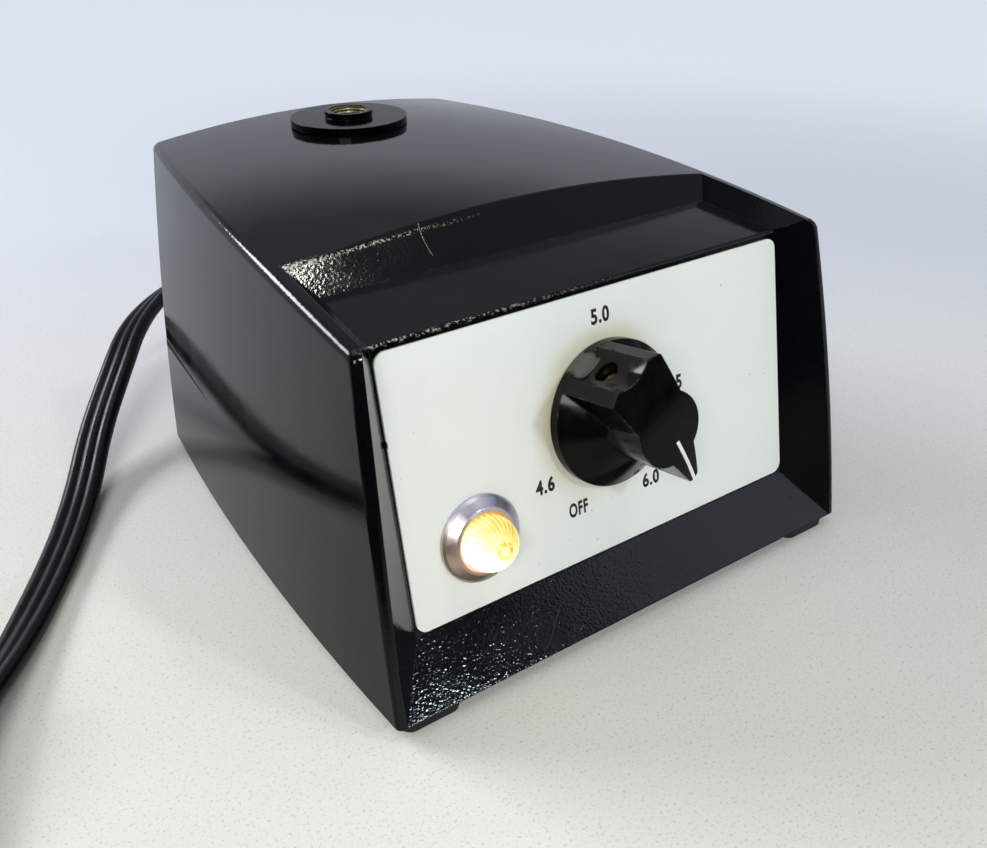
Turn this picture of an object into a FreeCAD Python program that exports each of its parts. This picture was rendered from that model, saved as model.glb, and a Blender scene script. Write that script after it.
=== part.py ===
"""Fiber optic illuminator: a moulded bench box with a dial, a pilot lamp and a light-guide port.

Millimetres. X runs across the box, +Y to its back, +Z up. The origin is on the table, under the middle
of the box. Parts on the dial plate are drawn in the plate's own frame, where x runs across, y runs up the
plate and z points out of it, with its origin where the selector shaft leaves the plate.
"""
import FreeCAD, Part
import Sketcher
import math
import os
import re

Vec = FreeCAD.Vector
Turn = FreeCAD.Rotation
Place = FreeCAD.Placement
X_AXIS, Y_AXIS, Z_AXIS = Vec(1, 0, 0), Vec(0, 1, 0), Vec(0, 0, 1)

SIZES = {
    # housing
    "foot_height": 3.0, "wall": 2.2, "base_half_width": 64.0, "base_widest_at": -48.6,
    "base_side_radius": 787.0, "side_bulge": 0.7, "crown_rise": 3.35, "rear_foot": 65.64,
    "rear_lean": 8.41, "rear_corner_radius": 3.2, "top_edge_radius": 2.0, "front_top": -58.85,
    "front_top_level": 75.53, "front_foot": -73.45, "front_bulge": 0.7, "front_edge_radius": 1.4,
    "front_top_radius": 2.6, "ledge_edge_radius": 0.8,
    "boss_radius": 5.0, "front_boss_top": 14.0, "rear_boss_top": 22.0, "base_thickness": 1.2,
    "base_gap": 0.4, "front_foot_x": 54.8, "front_foot_y": -65.6, "rear_foot_x": 47.5,
    "rear_foot_y": 57.0, "foot_side": 13.4, "foot_corner": 2.5, "foot_screw_radius": 1.75,
    "screw_head_radius": 3.0, "screw_head_height": 1.8, "base_screw_length": 5.0, "screw_gap": 0.3,
    "vent_width": 3.0, "vent_length": 26.0, "vent_pitch": 7.0, "vent_count": 7,
    # dial plate, tilted back
    "dial_lean": 10.82, "dial_origin_y": -57.68, "dial_origin_z": 45.5, "dial_half_width": 52.6,
    "dial_below": 31.52, "dial_above": 26.45, "dial_thickness": 0.5, "dial_corner": 2.5,
    "bushing_hole": 5.0, "pilot_x": -35.65, "pilot_y": -16.34, "pilot_hole": 6.6,
    # selector knob
    "knob_gap": 0.4, "skirt_radius": 15.9, "skirt_rim": 2.2, "cone_top_radius": 8.2,
    "cone_top": 9.3, "hub_radius": 7.9, "knob_height": 18.9, "tail_top": 17.4, "beak_top": 16.2,
    "tail_waist": 5.0, "tail_waist_half": 6.5, "tail_corner": 14.0, "tail_corner_half": 7.5,
    "tail_end": 15.3, "tail_end_half": 4.5, "scoop_depth": 1.2, "beak_root": 7.1,
    "beak_root_half": 3.4, "beak_tip": 15.3, "beak_tip_half": 1.3, "nut_room_radius": 8.0,
    "nut_room_height": 5.2, "shaft_bore": 3.2, "shaft_bore_top": 14.0, "pointer_start": 3.4,
    "pointer_half_width": 0.42, "pointer_depth": 0.6, "rest_turn": -60.0, "screw_level": 9.0,
    "grub_radius": 1.9, "grub_length": 8.6, "grub_hole_radius": 2.5, "grub_hole_start": 9.4,
    # rheostat behind the dial plate
    "shaft_radius": 3.16, "shaft_front": 13.5, "shaft_back": 22.0, "bushing_radius": 4.76,
    "bushing_front": 4.6, "panel_stack": 2.75, "bushing_flange_radius": 8.0, "bushing_flange": 1.5,
    "nut_across_flats": 12.7, "nut_thickness": 2.4, "washer_radius": 6.8, "washer_thickness": 0.6,
    "rheostat_radius": 18.0, "rheostat_rim_radius": 15.6, "rheostat_length": 13.0,
    "rheostat_floor": 3.0, "element_inner": 10.5, "element_outer": 15.4, "element_height": 5.0,
    "wiper_hub_radius": 6.0, "wiper_hub_length": 7.0, "wiper_width": 6.0, "wiper_thickness": 1.0,
    "wiper_reach": 14.5, "running_gap": 0.4, "lug_width": 4.0, "lug_thickness": 0.8,
    "lug_length": 9.0,
    # pilot lamp
    "bezel_radius": 9.3, "bezel_rim": 0.7, "bezel_height": 2.8, "bezel_inner": 5.95,
    "barrel_radius": 6.4, "barrel_length": 13.0, "barrel_inner": 5.4, "lens_radius": 5.8,
    "lens_straight": 5.2, "lens_shoulder": 4.2, "lens_shoulder_level": 8.1, "lens_tip": 9.0,
    "lens_wall": 1.0, "pilot_nut_radius": 8.5, "pilot_nut_height": 2.4, "neon_radius": 3.0,
    "neon_length": 11.0, "pilot_socket_radius": 5.3, "pilot_socket_length": 10.0,
    # light-guide port
    "port_y": 50.2, "crown_level": 85.88, "flange_radius": 15.4, "flange_thickness": 1.86,
    "port_hub_radius": 6.3, "port_hub_top": 89.3, "bush_radius": 5.2, "guide_radius": 4.7,
    "bush_foot": 77.5, "bush_top": 89.1, "port_hole": 5.5, "port_nut_flats": 16.0,
    "port_nut_height": 2.8, "lens_tube_radius": 12.0, "lens_tube_wall": 1.0, "lens_tube_foot": 58.0,
    "lens_tube_cap": 1.2, "glass_radius": 10.7, "glass_clear_radius": 9.0, "glass_foot": 68.0, "glass_edge": 3.0,
    "glass_bulge": 2.0, "ring_height": 1.4, "ring_inner": 9.2,
    # lamp
    "bulb_radius": 8.0, "bulb_neck_radius": 5.6, "bulb_foot": 43.0, "bulb_centre": 56.0,
    "bulb_wall": 0.7, "lamp_base_radius": 7.0, "lamp_base_foot": 30.0, "lamp_base_top": 44.0,
    "socket_radius": 9.2, "socket_foot": 26.2, "socket_top": 41.0, "bracket_half_width": 14.0,
    "bracket_sheet": 1.5, "bracket_depth": 24.0, "filament_radius": 0.6, "filament_length": 5.0,
    # transformer
    "core_width": 57.0, "core_height": 47.5, "core_stack": 25.0, "core_leg": 19.0,
    "window_width": 9.5, "window_height": 28.5, "core_foot": 5.4, "bobbin_wall": 1.0,
    "winding_build": 7.6, "frame_sheet": 1.2, "frame_depth": 21.0, "frame_foot": 11.0,
    "frame_screw_radius": 1.75,
    # terminal strip
    "strip_x": -44.0, "strip_y": 32.0, "strip_length": 38.0, "strip_height": 9.0,
    "strip_thickness": 1.6, "strip_lugs": 5, "strip_lug_pitch": 7.0,
    # mains cord: flat, three cores side by side
    "cord_x": -6.0, "cord_exit_z": 37.0, "relief_length": 20.0, "relief_inside": 5.0,
    "relief_root_radius": 6.4, "relief_tip_radius": 4.4, "relief_flange": 2.0,
    "relief_flange_radius": 8.2, "cord_hole_radius": 5.6, "cord_tube_radius": 3.0, "cord_stub": 3.0,
    "cord_width": 9.2, "cord_thickness": 3.9, "coil_x": -196.0, "coil_y": -48.0,
    "coil_outer_turn": 57.0, "coil_turns": 5.5, "coil_pitch": 4.05, "coil_foot": 1.0,
    "tie_width": 9.0, "tie_thickness": 0.9,
    "plug_length": 33.0, "plug_width": 25.0, "plug_height": 17.0, "blade_length": 16.0,
    "blade_width": 6.35, "blade_thickness": 1.5, "blade_spacing": 12.7, "earth_pin_radius": 2.4,
    "earth_pin_length": 19.0, "earth_pin_drop": 5.2,
}

# top edge of the side wall, from the middle of the box: half width and level against distance back
TOP_EDGE_X = (57.242, -8.985, -7.757)
TOP_EDGE_Z = (80.921, 6.278, -6.175)
TOP_EDGE_UNIT = 100.0
BOX_SHIFT = -3.6  # from the middle of the shell's own drawing to the middle of the finished box
SECTION_STATIONS = (-78.0, -45.0, -15.0, 15.0, 45.0, 88.0)

# the recess in the front, right-hand side: foot of its wall, top of its wall, how far past to cut
RECESS_CORNERS = (
    ((51.4, -30.67, 74.76), (55.84, -25.36, 79.98), 2.2),
    ((52.9, -51.95, 72.81), (57.8, -58.75, 76.65), 2.6),
    ((52.85, -63.23, 13.78), (62.0, -72.05, 12.62), 2.0),
    ((62.0, -73.87, 2.6), (63.2, -75.02, 2.45), 9.0),
)

doc = FreeCAD.newDocument("illuminator")
sheet = doc.addObject("Spreadsheet::Sheet", "Sizes")
for row, (alias, number) in enumerate(SIZES.items(), start=1):
    sheet.set(f"A{row}", alias)
    sheet.set(f"B{row}", str(number))
    sheet.setAlias(f"B{row}", alias)
doc.recompute()

NODES = []


def size(alias):
    """The number that the sheet holds for a name."""
    return float(sheet.get(alias))


def in_sheet(text):
    """Arithmetic on the sheet's names, with each name written as the sheet's own."""
    return re.sub(r"[a-z][a-z0-9_]+", lambda m: "Sizes." + m.group(0) if m.group(0) in SIZES else m.group(0), text)


def bind(thing, prop, text):
    """Drives a property from the sheet; text is arithmetic on names in the sheet."""
    thing.setExpression(prop, in_sheet(text))


def add(kind, name):
    return doc.addObject(kind, name)


def node(thing, label):
    """Marks a finished object as one piece of the assembly."""
    thing.Label = label
    NODES.append(thing)
    return thing


def at(x=0.0, y=0.0, z=0.0, turn=None):
    return Place(Vec(x, y, z), turn or Turn())


def box(length, width, height, place=None):
    """A block whose foot is centred on the place."""
    thing = add("Part::Box", "Block")
    for prop, text in (("Length", length), ("Width", width), ("Height", height)):
        bind(thing, prop, text)
    thing.Placement = (place or at()).multiply(at(-worth(length) / 2, -worth(width) / 2))
    return thing


def worth(text):
    """The value of a sum or product of sheet names and numbers, worked out by the sheet itself."""
    return float(sheet.evalExpression(in_sheet(text)))


def rod(radius, height, place=None):
    thing = add("Part::Cylinder", "Rod")
    bind(thing, "Radius", radius)
    bind(thing, "Height", height)
    thing.Placement = place or at()
    return thing


def taper(radius_low, radius_high, height, place=None):
    thing = add("Part::Cone", "Taper")
    bind(thing, "Radius1", radius_low)
    bind(thing, "Radius2", radius_high)
    bind(thing, "Height", height)
    thing.Placement = place or at()
    return thing


def hexagon(across_flats, height, place=None):
    thing = add("Part::Prism", "Hexagon")
    thing.Polygon = 6
    bind(thing, "Circumradius", f"{across_flats} / 1.7320508")
    bind(thing, "Height", height)
    thing.Placement = place or at()
    return thing


def cut(base, *tools):
    for tool in tools:
        thing = add("Part::Cut", "Cut")
        thing.Base, thing.Tool = base, tool
        base = thing
    return base


def fuse(*shapes):
    thing = add("Part::MultiFuse", "Fuse")
    thing.Shapes = list(shapes)
    return thing


def group(*shapes):
    """Separate solids kept in one node, such as identical fasteners."""
    thing = add("Part::Compound", "Group")
    thing.Links = list(shapes)
    return thing


def shaped(shape, name="Form", place=None):
    thing = add("Part::Feature", name)
    thing.Shape = shape
    if place:
        thing.Placement = place
    return thing


def turned(name, points, place=None):
    """A body turned about its own z axis from an outline of (radius, level) pairs, each a sheet sum."""
    body = add("PartDesign::Body", name)
    sketch = body.newObject("Sketcher::SketchObject", name + "Outline")
    plane = [f for f in body.Origin.OriginFeatures if f.Role == "XZ_Plane"][0]
    sketch.AttachmentSupport = [(plane, "")]
    sketch.MapMode = "FlatFace"
    spots = [Vec(worth(r), worth(z), 0) for r, z in points]
    count = len(spots)
    for i in range(count):
        sketch.addGeometry(Part.LineSegment(spots[i], spots[(i + 1) % count]), False)
    for i in range(count):
        sketch.addConstraint(Sketcher.Constraint("Coincident", i, 2, (i + 1) % count, 1))
    for i, (radius, level) in enumerate(points):
        for kind, text, value, axis in (
            ("DistanceX", radius, spots[i].x, -2),
            ("DistanceY", level, spots[i].y, -1),
        ):
            if abs(value) < 1e-9:
                sketch.addConstraint(Sketcher.Constraint("PointOnObject", i, 1, axis))
            else:
                place_in_list = sketch.addConstraint(Sketcher.Constraint(kind, -1, 1, i, 1, value))
                bind(sketch, f"Constraints[{place_in_list}]", text)
    spun = body.newObject("PartDesign::Revolution", name + "Turn")
    spun.Profile = (sketch, [""])
    spun.ReferenceAxis = (sketch, ["V_Axis"])
    spun.Angle = 360
    body.Tip = spun
    body.Placement = place or at()
    return body


# ---------------------------------------------------------------- frames

DIAL = Place(
    Vec(0, size("dial_origin_y"), size("dial_origin_z")),
    Turn(X_AXIS, 90 - size("dial_lean")),
)
KNOB = DIAL.multiply(Place(Vec(), Turn(Z_AXIS, size("rest_turn"))))
PILOT = DIAL.multiply(at(size("pilot_x"), size("pilot_y")))


def on(frame, x=0.0, y=0.0, z=0.0, turn=None):
    """A place given in a frame's own axes."""
    return frame.multiply(at(x, y, z, turn))


# ---------------------------------------------------------------- housing


def side_at(y, inset):
    """Half width at the foot and at the top edge, and the top edge's level, at one station."""
    back = (y - BOX_SHIFT) / TOP_EDGE_UNIT
    foot = size("base_half_width") - (y - size("base_widest_at")) ** 2 / (2 * size("base_side_radius"))
    top = sum(c * back**n for n, c in enumerate(TOP_EDGE_X))
    level = sum(c * back**n for n, c in enumerate(TOP_EDGE_Z))
    return foot - inset, top - inset, level - inset


def section(y, inset, floor):
    """One cross-section: flat foot, two slightly bulged sides and a crowned top."""
    foot, top, level = side_at(y, inset)
    middle = ((foot + top) / 2 + size("side_bulge"), (floor + level) / 2)
    right_foot, right_top = Vec(foot, y, floor), Vec(top, y, level)
    left_foot, left_top = Vec(-foot, y, floor), Vec(-top, y, level)
    edges = [
        Part.Arc(right_foot, Vec(middle[0], y, middle[1]), right_top).toShape(),
        Part.Arc(right_top, Vec(0, y, level + size("crown_rise")), left_top).toShape(),
        Part.Arc(left_top, Vec(-middle[0], y, middle[1]), left_foot).toShape(),
        Part.LineSegment(left_foot, right_foot).toShape(),
    ]
    return Part.Wire(edges)


def hull(inset, floor):
    """The box as a smooth solid through its cross-sections."""
    return Part.makeLoft([section(y, inset, floor) for y in SECTION_STATIONS], True, False)


def across(points, reach=100.0):
    """A prism across the whole box, from an outline in the (y, z) plane."""
    wire = Part.makePolygon([Vec(-reach, y, z) for y, z in points + points[:1]])
    return Part.Face(wire).extrude(Vec(2 * reach, 0, 0))


def rear_cut(inset):
    """Everything behind the leaning rear wall."""
    slope = math.tan(math.radians(size("rear_lean")))
    start = size("rear_foot") - inset
    low, high, far = -20.0, 110.0, 140.0
    level = size("foot_height")
    return across([
        (start + (low - level) * slope, low), (start + (high - level) * slope, high),
        (far, high), (far, low),
    ])


def front_cut():
    """Everything in front of the cheeks' slightly bulged front edges."""
    top = Vec(-100, size("front_top"), size("front_top_level"))
    foot = Vec(-100, size("front_foot"), size("foot_height"))
    along = (foot - top).normalize()
    outward = Vec(0, along.z, -along.y)
    middle = (top + foot) * 0.5 + outward * size("front_bulge")
    above, below, far = top - along * 30, foot + along * 10, -150.0
    corners = [below, Vec(-100, far, below.z), Vec(-100, far, above.z), above]
    edges = [Part.LineSegment(above, top).toShape(), Part.Arc(top, middle, foot).toShape(),
             Part.LineSegment(foot, below).toShape()]
    edges += [Part.LineSegment(a, b).toShape() for a, b in zip(corners, corners[1:])]
    return Part.Face(Part.Wire(edges)).extrude(Vec(200, 0, 0))


def recess():
    """The tray in the front: step wall, ledge, dial panel and chin, with flared side walls."""
    rings = []
    for foot, top, reach in RECESS_CORNERS:
        low, high = Vec(*foot), Vec(*foot) + (Vec(*top) - Vec(*foot)) * reach
        rings.append([low, high, Vec(-high.x, high.y, high.z), Vec(-low.x, low.y, low.z)])
    faces = [Part.Face(Part.makePolygon(ring + ring[:1])) for ring in (rings[0], rings[-1])]
    for ring, following in zip(rings, rings[1:]):
        for i in range(4):
            j = (i + 1) % 4
            edge = Part.LineSegment(ring[i], ring[j]).toShape()
            faces.append(Part.makeRuledSurface(edge, Part.LineSegment(following[i], following[j]).toShape()))
    solid = Part.makeSolid(Part.makeShell(faces))
    if solid.Volume < 0:
        solid.reverse()
    return solid


def front_line(depth):
    """The step, ledge, panel and chin as one line in (y, z), moved back into the shell by depth."""
    spots = [(foot[1], foot[2]) for foot, _, _ in RECESS_CORNERS]
    first = RECESS_CORNERS[0]
    rise = (first[1][1] - first[0][1], first[1][2] - first[0][2])
    spots.insert(0, (spots[0][0] + 4 * rise[0], spots[0][1] + 4 * rise[1]))
    fall = (spots[-1][0] - spots[-2][0], spots[-1][1] - spots[-2][1])
    spots.append((spots[-1][0] + fall[0], spots[-1][1] + fall[1]))
    lines = []
    for (y0, z0), (y1, z1) in zip(spots, spots[1:]):
        length = math.hypot(y1 - y0, z1 - z0)
        back = (-(z1 - z0) / length * depth, (y1 - y0) / length * depth)
        lines.append(((y0 + back[0], z0 + back[1]), (y1 - y0, z1 - z0)))
    moved = [lines[0][0]]
    for (p, d), (q, e) in zip(lines, lines[1:]):
        cross = d[0] * e[1] - d[1] * e[0]
        if abs(cross) < 1e-6:
            moved.append(q)
            continue
        reach = ((q[0] - p[0]) * e[1] - (q[1] - p[1]) * e[0]) / cross
        moved.append((p[0] + d[0] * reach, p[1] + d[1] * reach))
    last, step = lines[-1]
    moved.append((last[0] + step[0], last[1] + step[1]))
    return moved


def room_inside(inset, floor):
    """The space within the walls, behind the step, ledge, panel and chin."""
    line = front_line(inset)
    behind = line + [(line[-1][0], floor - 5), (130.0, floor - 5), (130.0, line[0][1])]
    return hull(inset, floor).common(across(behind)).cut(rear_cut(inset))


def foot_spots():
    for x, y in (("front_foot_x", "front_foot_y"), ("rear_foot_x", "rear_foot_y")):
        for side in (1, -1):
            yield side * size(x), size(y)


def rounded(shape, groups):
    """The shape with each group of its edges rounded by its own radius, all at once."""
    fillet = add("Part::Fillet", "RoundedShell")
    fillet.Base = shaped(shape, "SharpShell")
    edges = []
    for group_edges, radius in groups:
        for i, edge in enumerate(shape.Edges, start=1):
            if any(edge.isSame(e) for e in group_edges):
                edges.append((i, size(radius), size(radius)))
    fillet.Edges = edges
    doc.recompute()
    return fillet.Shape


def make_housing():
    floor = size("foot_height")
    shell = hull(0.0, floor).cut(rear_cut(0.0)).cut(front_cut())
    upright = [e for e in shell.Edges if e.BoundBox.YMin > 60 and e.BoundBox.ZLength > 60]
    shell = shell.makeFillet(size("rear_corner_radius"), upright)
    rims = [e for e in shell.Edges
            if (e.BoundBox.YLength > 110 and e.BoundBox.ZMin > 70)
            or (e.BoundBox.YMin > 70 and e.BoundBox.ZMin > 79)]
    front = [e for e in shell.Edges if e.BoundBox.YMax < -50 and e.BoundBox.ZMax > 50]
    brow = [e for e in front if e.BoundBox.XLength > 100]
    cheeks = [e for e in front if e.BoundBox.ZLength > 50]
    shell = rounded(shell, ((rims, "top_edge_radius"), (brow, "front_top_radius"), (cheeks, "front_edge_radius")))
    whole = shell.Volume
    shell = shell.cut(recess())
    if not 0.04 < 1 - shell.Volume / whole < 0.08:
        raise ValueError("the recess isn't cut as drawn")
    steps = [e for e in shell.Edges if e.BoundBox.XLength > 90
             and (-56 < e.BoundBox.YMax < -50 or (e.BoundBox.ZMin > 78 and e.BoundBox.YMax < -20))]
    shell = shell.makeFillet(size("ledge_edge_radius"), steps)
    hollow = room_inside(size("wall"), floor - 5)
    bosses = []
    for x, y in foot_spots():
        top = size("front_boss_top") if y < 0 else size("rear_boss_top")
        bosses.append(Part.makeCylinder(size("boss_radius"), top - plate_top(), Vec(x, y, plate_top())))
    posts = [b.common(shell) for b in bosses]
    shell = shell.cut(hollow)
    for post in posts:
        shell = shell.fuse(post)
    reach = 30.0
    thread = size("base_screw_length") - size("screw_gap")
    holes = [Part.makeCylinder(size("foot_screw_radius"), thread, Vec(x, y, floor)) for x, y in foot_spots()]
    holes.append(dial_hole(size("bushing_hole"), reach, 0.0, 0.0))
    holes.append(dial_hole(size("pilot_hole"), reach, size("pilot_x"), size("pilot_y")))
    holes.append(Part.makeCylinder(size("port_hole"), reach, Vec(0, size("port_y"), 75.0)))
    holes.append(Part.makeCylinder(size("cord_hole_radius"), reach, cord_start() - wall_out() * 12, wall_out()))
    for hole in holes:
        shell = shell.cut(hole)
    return node(shaped(shell, "Housing"), "housing")


def dial_hole(radius, length, x, y):
    hole = Part.makeCylinder(radius, length, Vec(0, 0, -length / 2))
    hole.Placement = on(DIAL, x, y)
    return hole


def plate_top():
    return size("foot_height") + size("base_thickness")


def make_base():
    floor = size("foot_height")
    inset = size("wall") + size("base_gap")
    slab = Part.makeBox(200, 200, size("base_thickness"), Vec(-100, -100, floor))
    plate = room_inside(inset, floor - 5).common(slab)
    for x, y in foot_spots():
        plate = plate.cut(Part.makeCylinder(size("foot_screw_radius") + 0.2, 10, Vec(x, y, 0)))
    half = (size("vent_count") - 1) / 2
    for row in (-1, 1):
        for i in range(int(size("vent_count"))):
            x = (i - half) * size("vent_pitch")
            width, length = size("vent_width"), size("vent_length")
            slot = Part.makeBox(width, length, 10, Vec(x - width / 2, row * 36.0 - 4.0 - length / 2, 0))
            plate = plate.cut(slot)
    for x, y in bracket_screw_spots() + frame_screw_spots():
        plate = plate.cut(Part.makeCylinder(size("frame_screw_radius"), 10, Vec(x, y, 0)))
    node(shaped(plate, "BasePlate"), "base_plate")

    pads, screws = [], []
    for x, y in foot_spots():
        side = size("foot_side")
        pad = Part.makeBox(side, side, floor, Vec(x - side / 2, y - side / 2, 0))
        pad = pad.makeFillet(size("foot_corner"), [e for e in pad.Edges if e.BoundBox.ZLength > 1])
        pad = pad.cut(Part.makeCylinder(size("foot_screw_radius") + 0.1, floor, Vec(x, y, 0)))
        well = size("screw_head_height") + 0.4
        pad = pad.cut(Part.makeCylinder(size("screw_head_radius") + 0.3, well, Vec(x, y, 0)))
        pads.append(shaped(pad, "Foot"))
        screws.append(pan_screw(x, y, 0.4, size("base_screw_length")))
    node(group(*pads), "feet")
    node(group(*screws), "base_screws")


def pan_screw(x, y, head_foot, length, down=False, radius=None, head=None):
    """A slotted pan-head screw that points up, or down from its head."""
    radius = radius or size("foot_screw_radius")
    head = head or size("screw_head_radius")
    height = size("screw_head_height")
    body = Part.makeCylinder(head, height, Vec(0, 0, 0))
    body = body.makeFillet(height * 0.45, [e for e in body.Edges if e.BoundBox.ZMax < 0.01 and e.Closed])
    body = body.cut(Part.makeBox(2 * head, 0.8, 0.8, Vec(-head, -0.4, 0)))
    body = body.fuse(Part.makeCylinder(radius, length, Vec(0, 0, height)))
    turn = Turn(X_AXIS, 180) if down else Turn()
    return shaped(body, "Screw", Place(Vec(x, y, head_foot), turn))


# ---------------------------------------------------------------- dial plate and knob


def make_dial_plate():
    plate = box("2 * dial_half_width", "dial_below + dial_above", "dial_thickness",
                on(DIAL, 0, (size("dial_above") - size("dial_below")) / 2, -size("dial_thickness")))
    rounded = add("Part::Fillet", "RoundedPlate")
    rounded.Base = plate
    doc.recompute()
    corners = [i + 1 for i, e in enumerate(plate.Shape.Edges) if e.Length < 1]
    rounded.Edges = [(i, size("dial_corner"), size("dial_corner")) for i in corners]
    depth = size("dial_thickness")
    hole = rod("bushing_hole", "dial_thickness * 3", on(DIAL, 0, 0, -2 * depth))
    lamp = rod("pilot_hole", "dial_thickness * 3", on(PILOT, 0, 0, -2 * depth))
    node(cut(rounded, hole, lamp), "dial_plate")


def knob_outline():
    """Seen from the front: hub circle, a tail with a scooped end and a straight beak."""
    hub = size("hub_radius")
    waist = Vec(-size("tail_waist"), size("tail_waist_half"), 0)
    corner = Vec(-size("tail_corner"), size("tail_corner_half"), 0)
    end = Vec(-size("tail_end"), size("tail_end_half"), 0)
    root = Vec(size("beak_root"), size("beak_root_half"), 0)
    tip = Vec(size("beak_tip"), size("beak_tip_half"), 0)
    scoop = Vec(-size("tail_end") + size("scoop_depth"), 0, 0)
    nose = Vec(size("beak_tip") + 0.5, 0, 0)

    def mirror(v):
        return Vec(v.x, -v.y, 0)

    top = Vec(0, hub, 0)
    edges = [Part.Arc(mirror(end), scoop, end).toShape(), Part.LineSegment(end, corner).toShape(),
             Part.LineSegment(corner, waist).toShape(), Part.Arc(waist, top, root).toShape(),
             Part.LineSegment(root, tip).toShape(), Part.Arc(tip, nose, mirror(tip)).toShape(),
             Part.LineSegment(mirror(tip), mirror(root)).toShape(),
             Part.Arc(mirror(root), mirror(top), mirror(waist)).toShape(),
             Part.LineSegment(mirror(waist), mirror(corner)).toShape(),
             Part.LineSegment(mirror(corner), mirror(end)).toShape()]
    return Part.Wire(edges)


def crowned(drop=0.0):
    """A prism whose top is the knob's crowned face, lowered by drop."""
    tail = Vec(-size("tail_end") - 1, -20, size("tail_top") - drop)
    peak = Vec(-1.0, -20, size("knob_height") - drop)
    beak = Vec(size("beak_tip") + 1, -20, size("beak_top") - drop)
    low_beak, low_tail = Vec(beak.x, -20, -5), Vec(tail.x, -20, -5)
    edges = [Part.Arc(tail, peak, beak).toShape()]
    edges += [Part.LineSegment(a, b).toShape() for a, b in ((beak, low_beak), (low_beak, low_tail), (low_tail, tail))]
    return Part.Face(Part.Wire(edges)).extrude(Vec(0, 40, 0))


def make_knob():
    gap, rim = size("knob_gap"), size("skirt_rim")
    skirt = Part.makeCylinder(size("skirt_radius"), rim, Vec(0, 0, gap))
    skirt = skirt.fuse(Part.makeCone(size("skirt_radius"), size("cone_top_radius"),
                                     size("cone_top") - gap - rim, Vec(0, 0, gap + rim)))
    grip = Part.Face(knob_outline()).extrude(Vec(0, 0, 20)).common(crowned())
    grip = grip.cut(Part.makeBox(60, 60, gap + 5, Vec(-30, -30, -5)))
    knob = skirt.fuse(grip).removeSplitter()
    strip = Part.makeBox(20, 2 * size("pointer_half_width"), 30,
                         Vec(size("pointer_start"), -size("pointer_half_width"), -2))
    inlay = knob.common(strip).cut(crowned(size("pointer_depth")))
    knob = knob.cut(inlay)
    knob = knob.cut(Part.makeCylinder(size("nut_room_radius"), size("nut_room_height") - gap, Vec(0, 0, gap)))
    knob = knob.cut(Part.makeCylinder(size("shaft_bore"), size("shaft_bore_top"), Vec(0, 0, 0)))
    level, outward = size("screw_level"), Vec(-1, 0, 0)
    knob = knob.cut(Part.makeCylinder(size("grub_hole_radius"), 20, Vec(-size("grub_hole_start"), 0, level), outward))
    knob = knob.cut(Part.makeCylinder(size("grub_radius"), 12, Vec(0, 0, level), outward))
    node(shaped(knob, "Knob", KNOB), "selector_knob")
    node(shaped(inlay, "Pointer", KNOB), "pointer_line")
    grub = Part.makeCylinder(size("grub_radius"), size("grub_length"), Vec(-size("shaft_radius"), 0, level), outward)
    end = size("shaft_radius") + size("grub_length")
    grub = grub.cut(Part.makeBox(1.0, 4, 0.6, Vec(-end, -2, level - 0.3)))
    node(shaped(grub, "Grub", KNOB), "set_screw")


# ---------------------------------------------------------------- rheostat


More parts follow.
